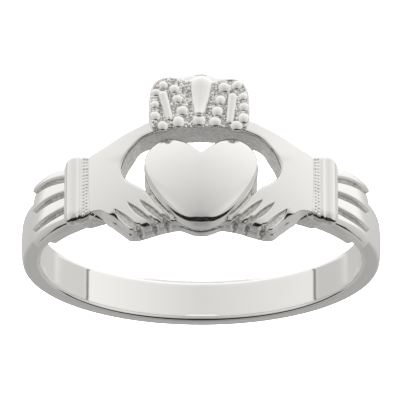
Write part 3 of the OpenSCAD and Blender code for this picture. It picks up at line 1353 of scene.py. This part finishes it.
@dataclass
class Hands:
    """Both hands from cuff to cuff, with their thumbs, palms and fingers round the opening."""

    sizes: Sizes = SIZES
    step: float = 0.052
    # the palms' backs
    palm_t: float = 1.9
    palm_bow: float = 13.0
    palm_mid: float = 0.6
    # the thumbs, which rise to the crown and sink below a place along the finger
    thumb_reach: float = 2.9
    thumb_t: float = 2.5
    thumb_arc_r: float = 6.6
    thumb_from: float = 1.5
    thumb_sink: float = 0.9
    thumb_fillet: float = 0.35
    # how far down the fingers reach, and the share of it at which their outline closes
    finger_reach: float = 2.75
    middle_share: float = 0.955
    # where the fingertips set in along the finger and end towards the palm, and how round they are
    tips_over: Span = (0.9, 1.6)
    tips_x: float = 4.9
    tips_fade: float = 0.6
    edge_round: float = 0.05
    tip_round: float = 0.55
    tip_back: float = 0.06
    # the plate under the fingertips, thicker beside the middle
    plate_t: float = 0.76
    ledge_t: float = 1.08
    ledge_over: Span = (1.0, 1.3)
    plate_out: float = 0.05
    plate_round: float = 0.12
    plate_tip_round: float = 0.16
    plate_side_round: float = 0.34
    plate_side_over: Span = (0.8, 1.3)
    plate_fillet: float = 0.03
    # the valleys between the fingertips: half width, and depths on the back, the tips and the plate
    valley_half: float = 0.09
    valley_back: float = 0.12
    valley_tip: float = 0.2
    valley_wall: float = 0.22
    valley_plate: float = 0.25
    valley_over: Span = (0.1, 0.7)
    # the opening's edge
    gap_round: float = 0.20
    # the grooves' depth at the knuckles, how much more it is at the tips, and where
    groove_t: float = 0.22
    groove_deeper: float = 0.14
    groove_over: Span = (-1.0, 0.6)
    floor_round: float = 0.08
    groove_round: float = 0.13
    # the channel that the heart sits in
    channel_room: float = 0.28
    channel_t: float = 1.35
    channel_floor_round: float = 0.06
    channel_round: float = 0.18
    # the room under the crown's plate
    crown_half: float = 2.3
    crown_v: float = 2.2
    crown_sunk: float = 0.06
    crown_round: float = 0.04
    end_angle: float = 34.1
    end_round: float = 0.12
    bore_round: float = 0.12
    # how rough the opening's wall is left, how near to it and how deep, but not at its foot
    wall_grain: float = 0.5
    wall_near: Span = (-0.07, -0.03)
    wall_deep: Span = (0.08, 0.2)
    wall_foot: float = 0.08
    # the same for the grooves, down to a depth; they go rough enough for painted shade
    cut_grain: float = 0.8
    cut_near: Span = (-0.03, 0.04)
    cut_deep: Span = (0.04, 0.14)
    cut_lowest: float = 0.6
    # the same for the notches, below a place along the finger
    notch_grain: float = 0.6
    notch_near: Span = (-0.06, -0.01)
    notch_v: float = 1.2
    # the same for the heart's channel, up to a height
    channel_grain: float = 0.3
    channel_grain_room: float = 0.30
    channel_near: Span = (0.0, 0.05)
    channel_top: float = 1.42
    # the same for the plate under the fingertips, down along it and up to a place beside the middle
    plate_grain: float = 0.25
    plate_down: Span = (1.3, 1.6)
    plate_x: float = 4.7
    plate_fade: float = 0.3
    plate_foot: float = 0.06

    THUMB: Rows = (
        (0.00, 1.00), (0.30, 1.03), (0.42, 1.00), (0.49, 0.95), (0.574, 0.895), (0.65, 0.83),
        (0.735, 0.74), (0.82, 0.65), (0.92, 0.56), (1.02, 0.53),
    )
    FINGERTIPS: Rows = (
        (1.02, -0.50), (0.92, -0.50), (0.80, -0.505), (0.737, -0.59), (0.672, -0.71), (0.61, -0.85),
        (0.556, -0.975), (0.504, -1.00), (0.45, -0.995), (0.383, -0.965), (0.286, -0.915),
        (0.165, -0.885), (0.10, -0.94), (0.05, -0.985), (0.00, -1.00),
    )
    BOX = ((-6.8, -3.0, 5.9), (6.8, 3.2, 11.4))

    def __post_init__(self) -> None:
        """Lays out the outlines."""
        x = self.sizes.cuff_x
        thumb = Outline.drawn(self.THUMB, x, self.thumb_reach)
        tips = Outline.drawn(self.FINGERTIPS, x, self.finger_reach)
        low = -self.middle_share * self.finger_reach
        self.outline = thumb.closed(*tips.points, (PAST_MIDDLE, low), (PAST_MIDDLE, self.thumb_reach))
        self.opening = Opening()
        self.grooves = FingerGrooves(reach=self.finger_reach)
        self.heart = Heart().outline

    def _top(self, p: Places) -> Array:
        """Distance over the hands' backs: the bowed palms and the thumbs.

        Args:
            p: the points.

        Returns:
            The distances.
        """
        ring = self.sizes.bore_r + self.palm_t - self.palm_bow
        palm = np.hypot(p.rho - ring, p.v - self.palm_mid) - self.palm_bow
        middle = self.sizes.bore_r + self.thumb_t - self.thumb_arc_r
        sink = self.thumb_sink * np.maximum(self.thumb_from - p.v, 0) ** 2
        return join(palm, np.hypot(p.side, p.z - middle) - self.thumb_arc_r + sink, self.thumb_fillet)

    def _fingers(self, p: Places, top: Array, notch: Array) -> Array:
        """The hands without their cuts: fingers and palms, and the plate under the fingertips.

        Args:
            p: the points.
            top: their distance over the hands' backs.
            notch: their distance from the nearest notch between two fingertips.

        Returns:
            How far the points lie outside.
        """
        edge = self.outline.depth(p.side, p.v)
        height = p.rho - self.sizes.bore_r
        tips = ease(-p.v, *self.tips_over) * ease(self.tips_x - p.side, 0, self.tips_fade)
        valley = np.exp(-((np.maximum(notch, 0) / self.valley_half) ** 2)) * tips
        crease = valley * ease(height, *self.valley_over)
        back = top + self.valley_back * valley
        rim = edge + self.tip_back * tips + self.valley_tip * crease
        fingers = trim(back, rim, self.edge_round + self.tip_round * tips)
        ledge = self.plate_t + (self.ledge_t - self.plate_t) * ease(p.side, *self.ledge_over)
        beside = self.plate_side_round * ease(p.side, *self.plate_side_over)
        plate = trim(
            edge - self.plate_out * tips + self.valley_wall * crease,
            height - ledge + self.valley_plate * valley,
            self.plate_round + tips * (self.plate_tip_round + beside),
        )
        return join(fingers, plate, self.plate_fillet)

    def form(self, p: Places) -> Array:
        """Both hands, with the opening, the grooves and the heart's channel cut out.

        Args:
            p: the points.

        Returns:
            How far they lie outside the hands.
        """
        bore_r = self.sizes.bore_r
        top = self._top(p)
        leaf, along, notch = self.grooves.cut(p)
        solid = trim(self._fingers(p, top, notch), -self.opening.depth(p), self.gap_round)
        floor = self.groove_t + self.groove_deeper * ease(-along, *self.groove_over)
        solid = trim(solid, -trim(leaf, -(top + floor), self.floor_round), self.groove_round)
        room = self.heart.depth(p.side - self.channel_room, p.v)
        channel = trim(room, bore_r + self.channel_t - p.rho, self.channel_floor_round)
        solid = trim(solid, -channel, self.channel_round)
        crown = np.maximum(p.side - self.crown_half, self.crown_v - p.v)
        crown = np.maximum(crown, self.sizes.crown_face - self.crown_sunk - p.z)
        solid = trim(solid, -crown, self.crown_round)
        end = math.radians(self.end_angle)
        solid = trim(solid, p.side * math.cos(end) - p.z * math.sin(end), self.end_round)
        return trim(solid, bore_r - p.rho, self.bore_round)

    def grain(self, p: Places) -> Array:
        """How rough the casting is left: the opening's walls, the grooves and the fingertips' wall, where
        the grooves also get painted shade.

        Args:
            p: the points.

        Returns:
            The roughness, from 0 to 1, whose highest values also bring painted shade.
        """
        top = self._top(p)
        height = p.rho - self.sizes.bore_r
        leaf, _, notch = self.grooves.cut(p)
        gap = np.abs(self.opening.depth(p))
        wall = ease(-gap, *self.wall_near) * ease(-top, *self.wall_deep) * (height > self.wall_foot)
        # the grooves' floors: rough cast skin, rough enough to get painted shade
        cut = ease(-leaf, *self.cut_near) * ease(-top, *self.cut_deep) * (top > -self.cut_lowest)
        slot = ease(-notch, *self.notch_near) * (p.v < -self.notch_v)
        room = self.heart.depth(p.side - self.channel_grain_room, p.v)
        above = height > self.plate_foot
        channel = ease(-room, *self.channel_near) * (height < self.channel_top) * above
        plate = ease(-p.v, *self.plate_down) * ease(self.plate_x - p.side, 0, self.plate_fade)
        plate = plate * (height < self.ledge_t) * above
        return np.maximum.reduce([
            self.wall_grain * wall, self.cut_grain * cut, self.notch_grain * slot,
            self.channel_grain * channel, self.plate_grain * plate,
        ])

    def build(self, bench: Bench) -> None:
        """Builds the hands and the plate under their fingertips.

        Args:
            bench: takes the piece.
        """
        bench.piece(Skin(self.form, *self.BOX, self.step).mesh("hands", self.grain))


# Heart


@dataclass
class Heart:
    """The domed heart, free at its top and sides."""

    sizes: Sizes = SIZES
    step: float = 0.055
    width: float = 5.72
    height: float = 4.62
    reach: float = 2.75
    notch: float = 0.785
    apex_t: float = 2.65
    dome_r: float = 6.8
    # how far the rim stands out past the outline, and how the wall draws in below it at the point
    rim: float = 0.10
    waist: float = 0.34
    waist_z: float = 9.95
    waist_h: float = 0.45
    waist_over: Span = (1.7, 2.1)
    # the rim is round at the point and crisper at the lobes
    rim_round: float = 0.60
    rim_crisper: float = 0.46
    rim_over: Span = (-1.0, 0.8)
    bore_round: float = 0.12
    # how rough the wall is left, below a height, but not in the finger's hole
    wall_grain: float = 0.35
    wall_z: float = 10.2
    wall_fade: float = 0.3
    wall_lowest: float = 0.06

    SHAPE: Rows = (
        (0.00, 0.785), (0.18, 0.875), (0.38, 0.965), (0.62, 1.00), (0.83, 0.94), (0.96, 0.83),
        (1.00, 0.68), (0.96, 0.54), (0.84, 0.395), (0.66, 0.25), (0.43, 0.11), (0.20, 0.02),
        (0.00, 0.00),
    )
    BOX = ((-3.1, -3.0, 7.8), (3.1, 2.1, 11.5))

    def __post_init__(self) -> None:
        """Draws the outline of its right half."""
        self.outline = Outline.drawn(self.SHAPE, self.width / 2, self.height, -self.reach).closed(
            (PAST_MIDDLE, -self.reach), (PAST_MIDDLE, self.notch * self.height - self.reach),
        )

    def form(self, p: Places) -> Array:
        """The whole heart.

        Args:
            p: the points.

        Returns:
            How far they lie outside the heart.
        """
        s = self.sizes
        middle = s.bore_r + self.apex_t - self.dome_r
        mid_v = self.height / 2 - self.reach
        dome = np.sqrt(p.x * p.x + (p.z - middle) ** 2 + (p.v - mid_v) ** 2) - self.dome_r
        waist = self.waist * ease(self.waist_z - p.z, 0, self.waist_h) * ease(-p.v, *self.waist_over)
        edge = self.outline.depth(p.side, p.v) - self.rim + waist
        solid = trim(edge, dome, self.rim_round - self.rim_crisper * ease(p.v, *self.rim_over))
        return trim(solid, s.bore_r + s.tucked - p.rho, self.bore_round)

    def grain(self, p: Places) -> Array:
        """How rough the casting is left: a little on the heart's wall.

        Args:
            p: the points.

        Returns:
            The roughness, from 0 to 1.
        """
        low = ease(self.wall_z - p.z, 0.0, self.wall_fade)
        return self.wall_grain * low * (p.rho > self.sizes.bore_r + self.wall_lowest)

    def build(self, bench: Bench) -> None:
        """Builds the heart.

        Args:
            bench: takes the piece.
        """
        bench.piece(Skin(self.form, *self.BOX, self.step).mesh("heart", self.grain))


# Crown


@dataclass(frozen=True)
class Pebbles:
    """An uneven ground, about from -1 to 1, from waves that cross one another."""

    size: float = 0.24
    waves: int = 7
    uneven: Span = (0.7, 1.4)
    share: float = 2.6
    seed: int = 5

    def height(self, x: Array, v: Array) -> Array:
        """The ground's height.

        Args:
            x: places across the head.
            v: places along the finger.

        Returns:
            The height at each place.
        """
        draw = np.random.default_rng(self.seed)
        height = np.zeros(np.broadcast(x, v).shape)
        for _ in range(self.waves):
            turn, phase = draw.uniform(0, math.tau, 2)
            pace = math.tau / (self.size * draw.uniform(*self.uneven))
            height += np.sin(pace * (x * math.cos(turn) + v * math.sin(turn)) + phase)
        return height / self.share


@dataclass
class Rod:
    """A round rod with round ends, thicker at one end than at the other."""

    ends: tuple[Point, Point]
    radii: Span

    def depth(self, x: Array, v: Array, h: Array) -> Array:
        """How far points lie outside the rod.

        Args:
            x: places across the head.
            v: places along the finger.
            h: heights over the crown's face.

        Returns:
            The distances.
        """
        (ax, av, ah), (bx, bv, bh) = self.ends
        run = (bx - ax) ** 2 + (bv - av) ** 2 + (bh - ah) ** 2
        t = np.clip(((x - ax) * (bx - ax) + (v - av) * (bv - av) + (h - ah) * (bh - ah)) / run, 0, 1)
        away = np.sqrt(
            (x - ax - t * (bx - ax)) ** 2 + (v - av - t * (bv - av)) ** 2 + (h - ah - t * (bh - ah)) ** 2
        )
        return away - self.radii[0] - (self.radii[1] - self.radii[0]) * t


@dataclass
class Crown:
    """The crown: a sunken plate with beads, two bars, a plume and a grained floor."""

    sizes: Sizes = SIZES
    step: float = 0.04
    width: float = 5.28
    shift: float = -0.1
    # the plate's raised rim, above a place along the finger, and its uneven ground
    rim_h: float = 0.09
    rim_edge: Span = (-0.17, -0.11)
    rim_over: Span = (2.9, 3.3)
    rough_h: float = 0.065
    rough_edge: Span = (0.10, 0.2)
    plate_round: float = 0.07
    # the round plate behind the plume's head
    back_out: float = 0.02
    back_h: float = 0.04
    back_round: float = 0.10
    back_fillet: float = 0.08
    # the plume: its foot, and how flat it is there and how much flatter at its head
    foot_d: float = 0.64
    foot_at: float = 0.23
    foot_flat: float = 0.75
    head_flatter: float = 1.6
    head_down: float = 0.06
    head_in: float = 0.05
    foot_cut: float = 0.04
    foot_round: float = 0.14
    fillet: float = 0.06
    # the bars: width, flatness, height over the face at each end, and taper
    bar_d: float = 0.50
    bar_flat: float = 1.5
    bar_h: Span = (0.12, 0.16)
    bar_taper: float = 0.05
    # what is kept clear of the opening and of the finger
    opening_clear: float = 0.04
    opening_round: float = 0.22
    flare_share: float = 0.95
    flare_round: float = 0.12
    # where the sunken floor is left rough and gets painted shade: near the face, and inside the outline
    floor_near: Span = (-0.13, -0.09)
    floor_in: Span = (0.12, 0.17)
    # how rough its lower edge is left, up to a place above the opening, at what depth and how wide
    foot_grain: float = 0.62
    foot_up: float = 0.30
    foot_fade: float = 0.1
    foot_deep: Span = (0.08, 0.18)
    foot_half: float = 2.2
    # how rough the walls are left, at what depth, and how far out of the finger's hole
    wall_grain: float = 0.42
    wall_deep: Span = (0.1, 0.3)
    wall_out: float = 0.08
    # how rough the plume's crest is left, and where that starts and is full below its top
    crest_grain: float = 0.5
    crest_down: Span = (0.14, 0.06)
    # the beads
    bead_d: float = 0.57
    bead_rounds: int = 4
    bead_small: Point = (1.12, 1.02, 0.64)
    bead_large: Point = (1.42, 1.24, 0.76)
    bead_turn: Point = (0.1, 0.1, 0.5)
    bead_up: float = 0.02
    bead_h: float = 0.04
    bead_seed: int = 11
    # the floor's grains, and the outline that they keep to, as shares of the crown's own
    grain_d: float = 0.16
    grain_rounds: int = 2
    grain_uneven: Span = (0.6, 1.6)
    grain_apart: float = 0.12
    grain_crowd: float = 200.0
    grain_seed: int = 23
    grain_room: Span = (0.93, 0.90)
    grain_mid: float = 0.45
    grain_foot: float = 0.05

    RIGHT: Rows = (
        (0.84, -0.10), (0.95, 0.06), (0.99, 0.22), (1.00, 0.42), (0.97, 0.66), (0.87, 0.84),
        (0.68, 0.915), (0.45, 0.90), (0.27, 0.85),
    )
    LEFT: Rows = (
        (0.84, -0.10), (0.95, 0.06), (0.99, 0.22), (1.00, 0.42), (0.97, 0.67), (0.87, 0.86),
        (0.66, 0.94), (0.45, 0.93), (0.26, 0.885),
    )
    # each bead's place as shares of half the width and of the height, and its size
    BEADS: Rows = (
        (0.00, 0.12, 1.00),
        (-0.71, 0.02, 0.80), (-0.40, 0.09, 1.00), (-0.33, 0.29, 0.90), (-0.43, 0.51, 0.80),
        (-0.49, 0.70, 0.85), (-0.71, 0.77, 0.80), (-0.85, 0.63, 0.72), (-0.87, 0.41, 0.76),
        (-0.86, 0.20, 0.86),
        (0.73, 0.02, 0.90), (0.31, 0.09, 1.00), (0.36, 0.28, 0.95), (0.42, 0.49, 0.90),
        (0.50, 0.72, 0.90), (0.74, 0.76, 0.85), (0.86, 0.56, 0.80), (0.88, 0.36, 0.75),
        (0.87, 0.16, 0.95),
    )
    # both ends of each bar, in the same shares
    BARS: Rows = ((-0.71, 0.60, -0.59, 0.19), (0.66, 0.56, 0.60, 0.12))
    BOX = ((-3.1, 1.7, 8.0), (2.9, 5.7, 11.6))

    def __post_init__(self) -> None:
        """Lays out the crown's outline, left and right of its middle."""
        right = smooth_run(self.RIGHT)
        left = smooth_run(self.LEFT)[::-1] * (-1, 1)
        size = (self.width / 2, self.sizes.crown_h)
        self.outline = Outline(np.vstack([right, left]) * size + (self.shift, self.sizes.opening_top))
        self.opening = Opening()

    def _spot(self, across: float, along: float) -> tuple[float, float]:
        """A place on the crown from its shares of half the width and of the height."""
        return across * self.width / 2 + self.shift, along * self.sizes.crown_h + self.sizes.opening_top

    def _flare(self, v: Array) -> Array:
        """The radius of the finger's hole, which flares under the crown."""
        s = self.sizes
        return s.bore_r + s.crown_lift * np.clip((v - s.opening_top) / s.crown_h, 0, 1)

    def _plate(self, p: Places, h: Array) -> Array:
        """The sunken plate with its rim and ground, and the round plate behind the plume's head.

        Args:
            p: the points.
            h: their heights over the crown's face.

        Returns:
            How far they lie outside the plates.
        """
        edge = self.outline.depth(p.x, p.v)
        rim = self.rim_h * ease(edge, *self.rim_edge) * ease(p.v, *self.rim_over)
        ground = self.rough_h * Pebbles().height(p.x, p.v) * ease(-edge, *self.rough_edge)
        plate = trim(edge, h - np.maximum(rim, ground), self.plate_round)
        plume_r = self.sizes.plume_d / 2
        back = np.hypot(p.x, p.v - (self.sizes.crown_top - plume_r)) - plume_r - self.back_out
        return join(plate, trim(back, h - self.back_h, self.back_round), self.back_fillet)

    def _plume(self, p: Places, h: Array) -> Array:
        """The plume, which is narrow at its foot and wide and flat at its head.

        Args:
            p: the points.
            h: their heights over the crown's face.

        Returns:
            How far they lie outside the plume.
        """
        plume_r = self.sizes.plume_d / 2
        head_v = self.sizes.crown_top - plume_r
        foot_v = self.sizes.opening_top + self.foot_at * self.sizes.crown_h
        rise = np.clip((p.v - foot_v) / (head_v - foot_v), 0, 1)
        rod = Rod(
            ((self.shift, foot_v, 0), (0, head_v - self.head_down, 0)),
            (self.foot_d / 2, plume_r - self.head_in),
        )
        plume = rod.depth(p.x, p.v, h * (self.foot_flat + self.head_flatter * rise))
        return trim(plume, foot_v - self.foot_cut - p.v, self.foot_round)

    def form(self, p: Places) -> Array:
        """The crown's plates, bars and plume.

        Args:
            p: the points.

        Returns:
            How far they lie outside the crown.
        """
        h = p.z - self.sizes.crown_face
        solid = join(self._plate(p, h), self._plume(p, h), self.fillet)
        for ax, av, bx, bv in self.BARS:
            ends = ((*self._spot(ax, av), self.bar_h[0]), (*self._spot(bx, bv), self.bar_h[1]))
            bar = Rod(ends, (self.bar_d / 2, self.bar_d / 2 - self.bar_taper))
            solid = join(solid, bar.depth(p.x, p.v, h * self.bar_flat), self.fillet)
        solid = trim(solid, self.opening_clear - self.opening.depth(p), self.opening_round)
        flare = (self._flare(p.v) + self.sizes.tucked - p.rho) * self.flare_share
        return trim(solid, flare, self.flare_round)

    def grain(self, p: Places) -> Array:
        """How rough the casting is left: the sunken floor, the rim and the walls below; the sunken floor
        also gets painted shade.

        Args:
            p: the points.

        Returns:
            The roughness, from 0 to 1, whose highest values also bring painted shade.
        """
        s = self.sizes
        sunk = s.crown_face - p.z
        inside = ease(-self.outline.depth(p.x, p.v), *self.floor_in)
        # the sunken floor: rough cast skin, and the strongest painted shade of the ring
        floor = ease(-np.abs(sunk), *self.floor_near) * inside
        foot = ease(s.opening_top + self.foot_up - p.v, 0, self.foot_fade) * ease(sunk, *self.foot_deep)
        foot = self.foot_grain * foot * (p.side < self.foot_half)
        walls = ease(sunk, *self.wall_deep) * (p.rho > self._flare(p.v) + self.wall_out)
        crest = ease(p.v, *(s.crown_top - down for down in self.crest_down))
        return np.maximum.reduce([floor, foot, self.wall_grain * walls, self.crest_grain * crest])

    def _beads(self) -> Mesh:
        """The crown's beads, each a little uneven as cast ones are.

        Returns:
            The beads, in the ring's own frame.
        """
        host = bpy.data.meshes.new("bead_spots")
        height = self.sizes.crown_face + self.bead_h
        host.from_pydata([(*self._spot(a, b + self.bead_up), height) for a, b, _ in self.BEADS], [], [])
        size = host.attributes.new("size", "FLOAT", "POINT")
        size.data.foreach_set("value", [share for _, _, share in self.BEADS])
        recipe = Recipe("crown_beads", {"Bead": self.bead_d, "Seed": self.bead_seed})
        w = recipe.wire
        share = w.add("GeometryNodeInputNamedAttribute", {"data_type": "FLOAT"}, Name="size")
        scale = w.add(
            "ShaderNodeVectorMath", {"operation": "SCALE"},
            Vector=recipe.draw(self.bead_small, self.bead_large), Scale=share.outputs[0],
        )
        rows = recipe.sow(
            recipe.socket("Geometry"), recipe.ball("Bead", self.bead_rounds), scale.outputs[0],
            Rotation=recipe.draw(tuple(-a for a in self.bead_turn), self.bead_turn),
        )
        return recipe.serve(host, rows, "crown_beads")

    def _grains(self) -> Mesh:
        """The small grains that cover the crown's sunken floor.

        Returns:
            The grains, in the ring's own frame.
        """
        s = self.sizes
        middle = np.array([self.shift, s.opening_top + s.crown_h * self.grain_mid])
        inner = middle + (self.outline.points - middle) * self.grain_room
        inner = inner[inner[:, 1] > s.opening_top + self.grain_foot]
        host = bpy.data.meshes.new("crown_floor")
        host.from_pydata([(x, v, s.crown_face) for x, v in inner], [], [list(range(len(inner)))])
        recipe = Recipe("floor_grains", {
            "Grain": self.grain_d, "Spacing": self.grain_apart, "Seed": self.grain_seed,
        })
        spots = recipe.wire.add(
            "GeometryNodeDistributePointsOnFaces", {"distribute_method": "POISSON"},
            Mesh=recipe.socket("Geometry"), Distance_Min=recipe.socket("Spacing"),
            Density_Max=self.grain_crowd, Seed=recipe.socket("Seed"),
        )
        rows = recipe.sow(
            spots.outputs[0], recipe.ball("Grain", self.grain_rounds), recipe.draw(*self.grain_uneven),
        )
        return recipe.serve(host, rows, "crown_grains")

    def build(self, bench: Bench) -> None:
        """Builds the crown with its beads and grains.

        Args:
            bench: takes the pieces.
        """
        bench.piece(Skin(self.form, *self.BOX, self.step).mesh("crown", self.grain))
        bench.laid(self._beads())
        bench.laid(self._grains())


# Studio


@dataclass
class Room:
    """The soft room that the metal mirrors, bright below and dark overhead.

    Its spans are of a direction's own parts, each from -1 to 1: how far it points to one side, back
    and up.
    """

    light: tuple[float, float, float, float] = (1.0, 0.995, 0.985, 1)
    daylight: float = 5.0
    brighter_side: float = 0.04
    side_glow: Span = (0.12, 0.36)
    glow_over: Span = (0.0, 0.6)
    # the dark arch overhead: its place, bend and taper, its half width, foot and tone
    arch_at: float = -0.09
    arch_bend: float = 1.1
    arch_taper: float = 0.15
    arch_w: Span = (0.32, 0.44)
    arch_foot: Span = (0.22, 0.34)
    arch_tone: float = 0.012
    # the room is dimmer behind the ring: wholly from far back on, and already before near the horizon
    behind_dim: float = 0.65
    behind_far: Span = (0.42, 0.60)
    behind_near: Span = (-0.08, 0.02)
    behind_low: Span = (-0.52, -0.43)
    # the thin dark seam below the horizon, and where it ends above and at the sides
    seam_at: float = -0.05
    seam_w: Span = (0.012, 0.03)
    seam_tone: float = 0.3
    seam_top: Span = (-0.05, 0.05)
    seam_side: Span = (0.84, 0.92)

    # half of one plus the height of a direction, and how bright the room is there
    TONES: Rows = (
        (0.00, 1.08), (1.00, 0.36), (0.07, 1.04), (0.15, 0.93), (0.31, 0.80), (0.44, 0.72),
        (0.56, 0.62), (0.69, 0.50), (0.80, 0.43), (0.90, 0.38),
    )

    def _walls(self, w: Wiring, way: Way) -> Socket:
        """The room's tone without the arch and the seam.

        Args:
            w: the world's wiring.
            way: a direction's parts.

        Returns:
            The socket that gives the tone.
        """
        side, back, height = way
        ramp = w.add("ShaderNodeValToRGB", Fac=w.math("MULTIPLY_ADD", height, 0.5, 0.5))
        stops = ramp.color_ramp.elements
        for k, (spot, grey) in enumerate(self.TONES):
            stop = stops[k] if k < 2 else stops.new(spot)
            stop.position, stop.color = spot, (grey, grey, grey, 1)
        near = w.math(
            "MULTIPLY", w.rise(back, self.behind_near, 0.0, 1.0), w.rise(height, self.behind_low, 0.0, 1.0),
        )
        behind = w.math("MAXIMUM", near, w.rise(back, self.behind_far, 0.0, 1.0))
        dim = w.math("MULTIPLY_ADD", behind, self.behind_dim - 1.0, 1.0)
        tone = w.math("MULTIPLY", ramp.outputs[0], dim)
        glow = w.rise(height, self.glow_over, *self.side_glow)
        tone = w.math("MULTIPLY_ADD", w.math("ABSOLUTE", side), glow, tone)
        return w.math("MULTIPLY_ADD", side, -self.brighter_side, tone)

    def _arch(self, w: Wiring, way: Way) -> Socket:
        """What the dark arch overhead leaves of the tone.

        Args:
            w: the world's wiring.
            way: a direction's parts.

        Returns:
            The socket that gives the share.
        """
        side, back, height = way
        spread = w.math("MULTIPLY", side, side)
        off = w.math("SUBTRACT", back, w.math("MULTIPLY_ADD", spread, self.arch_bend, self.arch_at))
        narrow = w.math("MULTIPLY_ADD", spread, self.arch_taper, w.math("ABSOLUTE", off))
        beside = w.rise(narrow, self.arch_w, 0.0, 1.0)
        under = w.rise(height, self.arch_foot, 1.0, 0.0)
        return w.math("MAXIMUM", w.math("MAXIMUM", beside, under), self.arch_tone)

    def _seam(self, w: Wiring, way: Way) -> Socket:
        """What the thin dark seam leaves of the tone.

        Args:
            w: the world's wiring.
            way: a direction's parts.

        Returns:
            The socket that gives the share.
        """
        side, back, height = way
        away = w.math("ABSOLUTE", w.math("SUBTRACT", back, self.seam_at))
        above = w.rise(height, self.seam_top, 0.0, 1.0)
        beside = w.rise(w.math("ABSOLUTE", side), self.seam_side, 1.0, 0.0)
        seam = w.rise(away, self.seam_w, self.seam_tone, 1.0)
        return w.math("MAXIMUM", seam, w.math("MAXIMUM", above, beside))

    def build(self) -> None:
        """Lights the scene with the room; the floor gets plain daylight instead."""
        world = bpy.data.worlds.new("studio")
        bpy.context.scene.world = world
        world.use_nodes = True
        world.node_tree.nodes.clear()
        w = Wiring(world.node_tree)
        place = w.add("ShaderNodeSeparateXYZ", Vector=w.add("ShaderNodeTexCoord").outputs["Generated"])
        way = tuple(place.outputs)
        tone = w.math("MULTIPLY", self._walls(w, way), self._arch(w, way))
        tone = w.math("MULTIPLY", tone, self._seam(w, way))
        mirrored = w.add("ShaderNodeLightPath").outputs["Is Glossy Ray"]
        other = w.math("MULTIPLY", w.math("SUBTRACT", 1.0, mirrored), self.daylight)
        shown = w.math("MULTIPLY_ADD", mirrored, tone, other)
        light = w.add("ShaderNodeBackground", Color=self.light, Strength=shown)
        w.add("ShaderNodeOutputWorld", Surface=light.outputs[0])


@dataclass
class Studio:
    """A pale floor, a soft bright room, two soft boxes and the camera."""

    floor_half: float = 1.2
    # the camera's distance and angle in the ring's own frame, in millimetres and degrees
    distance: float = 220.0
    look_down: float = 69.28
    px_per_mm: float = 18.469
    picture_px: float = 400.0
    centre_px: Span = (201.08, 246.25)
    sensor: float = 36.0
    clip: Span = (0.01, 5.0)
    box_size: float = 0.16
    box_power: float = 0.03

    BOXES = {"soft_box_left": (-0.22, -0.05, 0.20), "soft_box_right": (0.24, -0.02, 0.18)}

    def floor(self) -> None:
        """Lays the pale floor that the ring rests on."""
        h = self.floor_half
        mesh = bpy.data.meshes.new("floor")
        mesh.from_pydata([(-h, -h, 0), (h, -h, 0), (h, h, 0), (-h, h, 0)], [], [(0, 1, 2, 3)])
        mesh.materials.append(Paper().material())
        made = put_in_scene("floor", mesh)
        made.visible_glossy = False

    def lamps(self) -> None:
        """Hangs a soft box on each side."""
        for name, spot in self.BOXES.items():
            light = bpy.data.lights.new(name, "AREA")
            light.size = self.box_size
            light.energy = self.box_power
            made = put_in_scene(name, light)
            made.location = spot
            made.rotation_mode = "QUATERNION"
            made.rotation_quaternion = Vector(spot).to_track_quat("Z", "Y")
            made.visible_glossy = False

    def camera(self) -> None:
        """Sets the camera at the photograph's angle to the ring, above the floor."""
        e = math.radians(self.look_down)
        back = Vector((0, -math.cos(e), math.sin(e)))
        up = Vector((0, math.sin(e), math.cos(e)))
        eye = LAY.place(back * self.distance)
        right_mm, up_mm = (
            (centre - self.picture_px / 2) / self.px_per_mm for centre in self.centre_px
        )
        target = LAY.place(Vector((-right_mm, 0, 0)) + up * up_mm)
        data = bpy.data.cameras.new("camera")
        data.sensor_width = self.sensor
        data.lens = self.px_per_mm * self.distance / self.picture_px * self.sensor
        data.clip_start, data.clip_end = self.clip
        made = put_in_scene("camera", data)
        gaze = (target - eye).normalized()
        side = gaze.cross(LAY.aim(up)).normalized()
        top = side.cross(gaze)
        made.matrix_world = Matrix.Translation(eye) @ Matrix((side, top, -gaze)).transposed().to_4x4()
        bpy.context.scene.camera = made

    def build(self) -> None:
        """Sets up the floor, the light and the camera."""
        self.floor()
        Room().build()
        self.lamps()
        self.camera()
        bpy.context.scene.view_settings.view_transform = "Standard"
        LOG.info("studio is set")


def main() -> None:
    """Builds the studio and the ring, part by part."""
    logging.basicConfig(level=logging.INFO, format="%(name)s: %(message)s")
    Studio().build()
    bench = Bench()
    for part in (Shank(), Sleeve(), Cuff(), Hands(), Heart(), Crown()):
        part.build(bench)


if __name__ == "__main__":
    main()
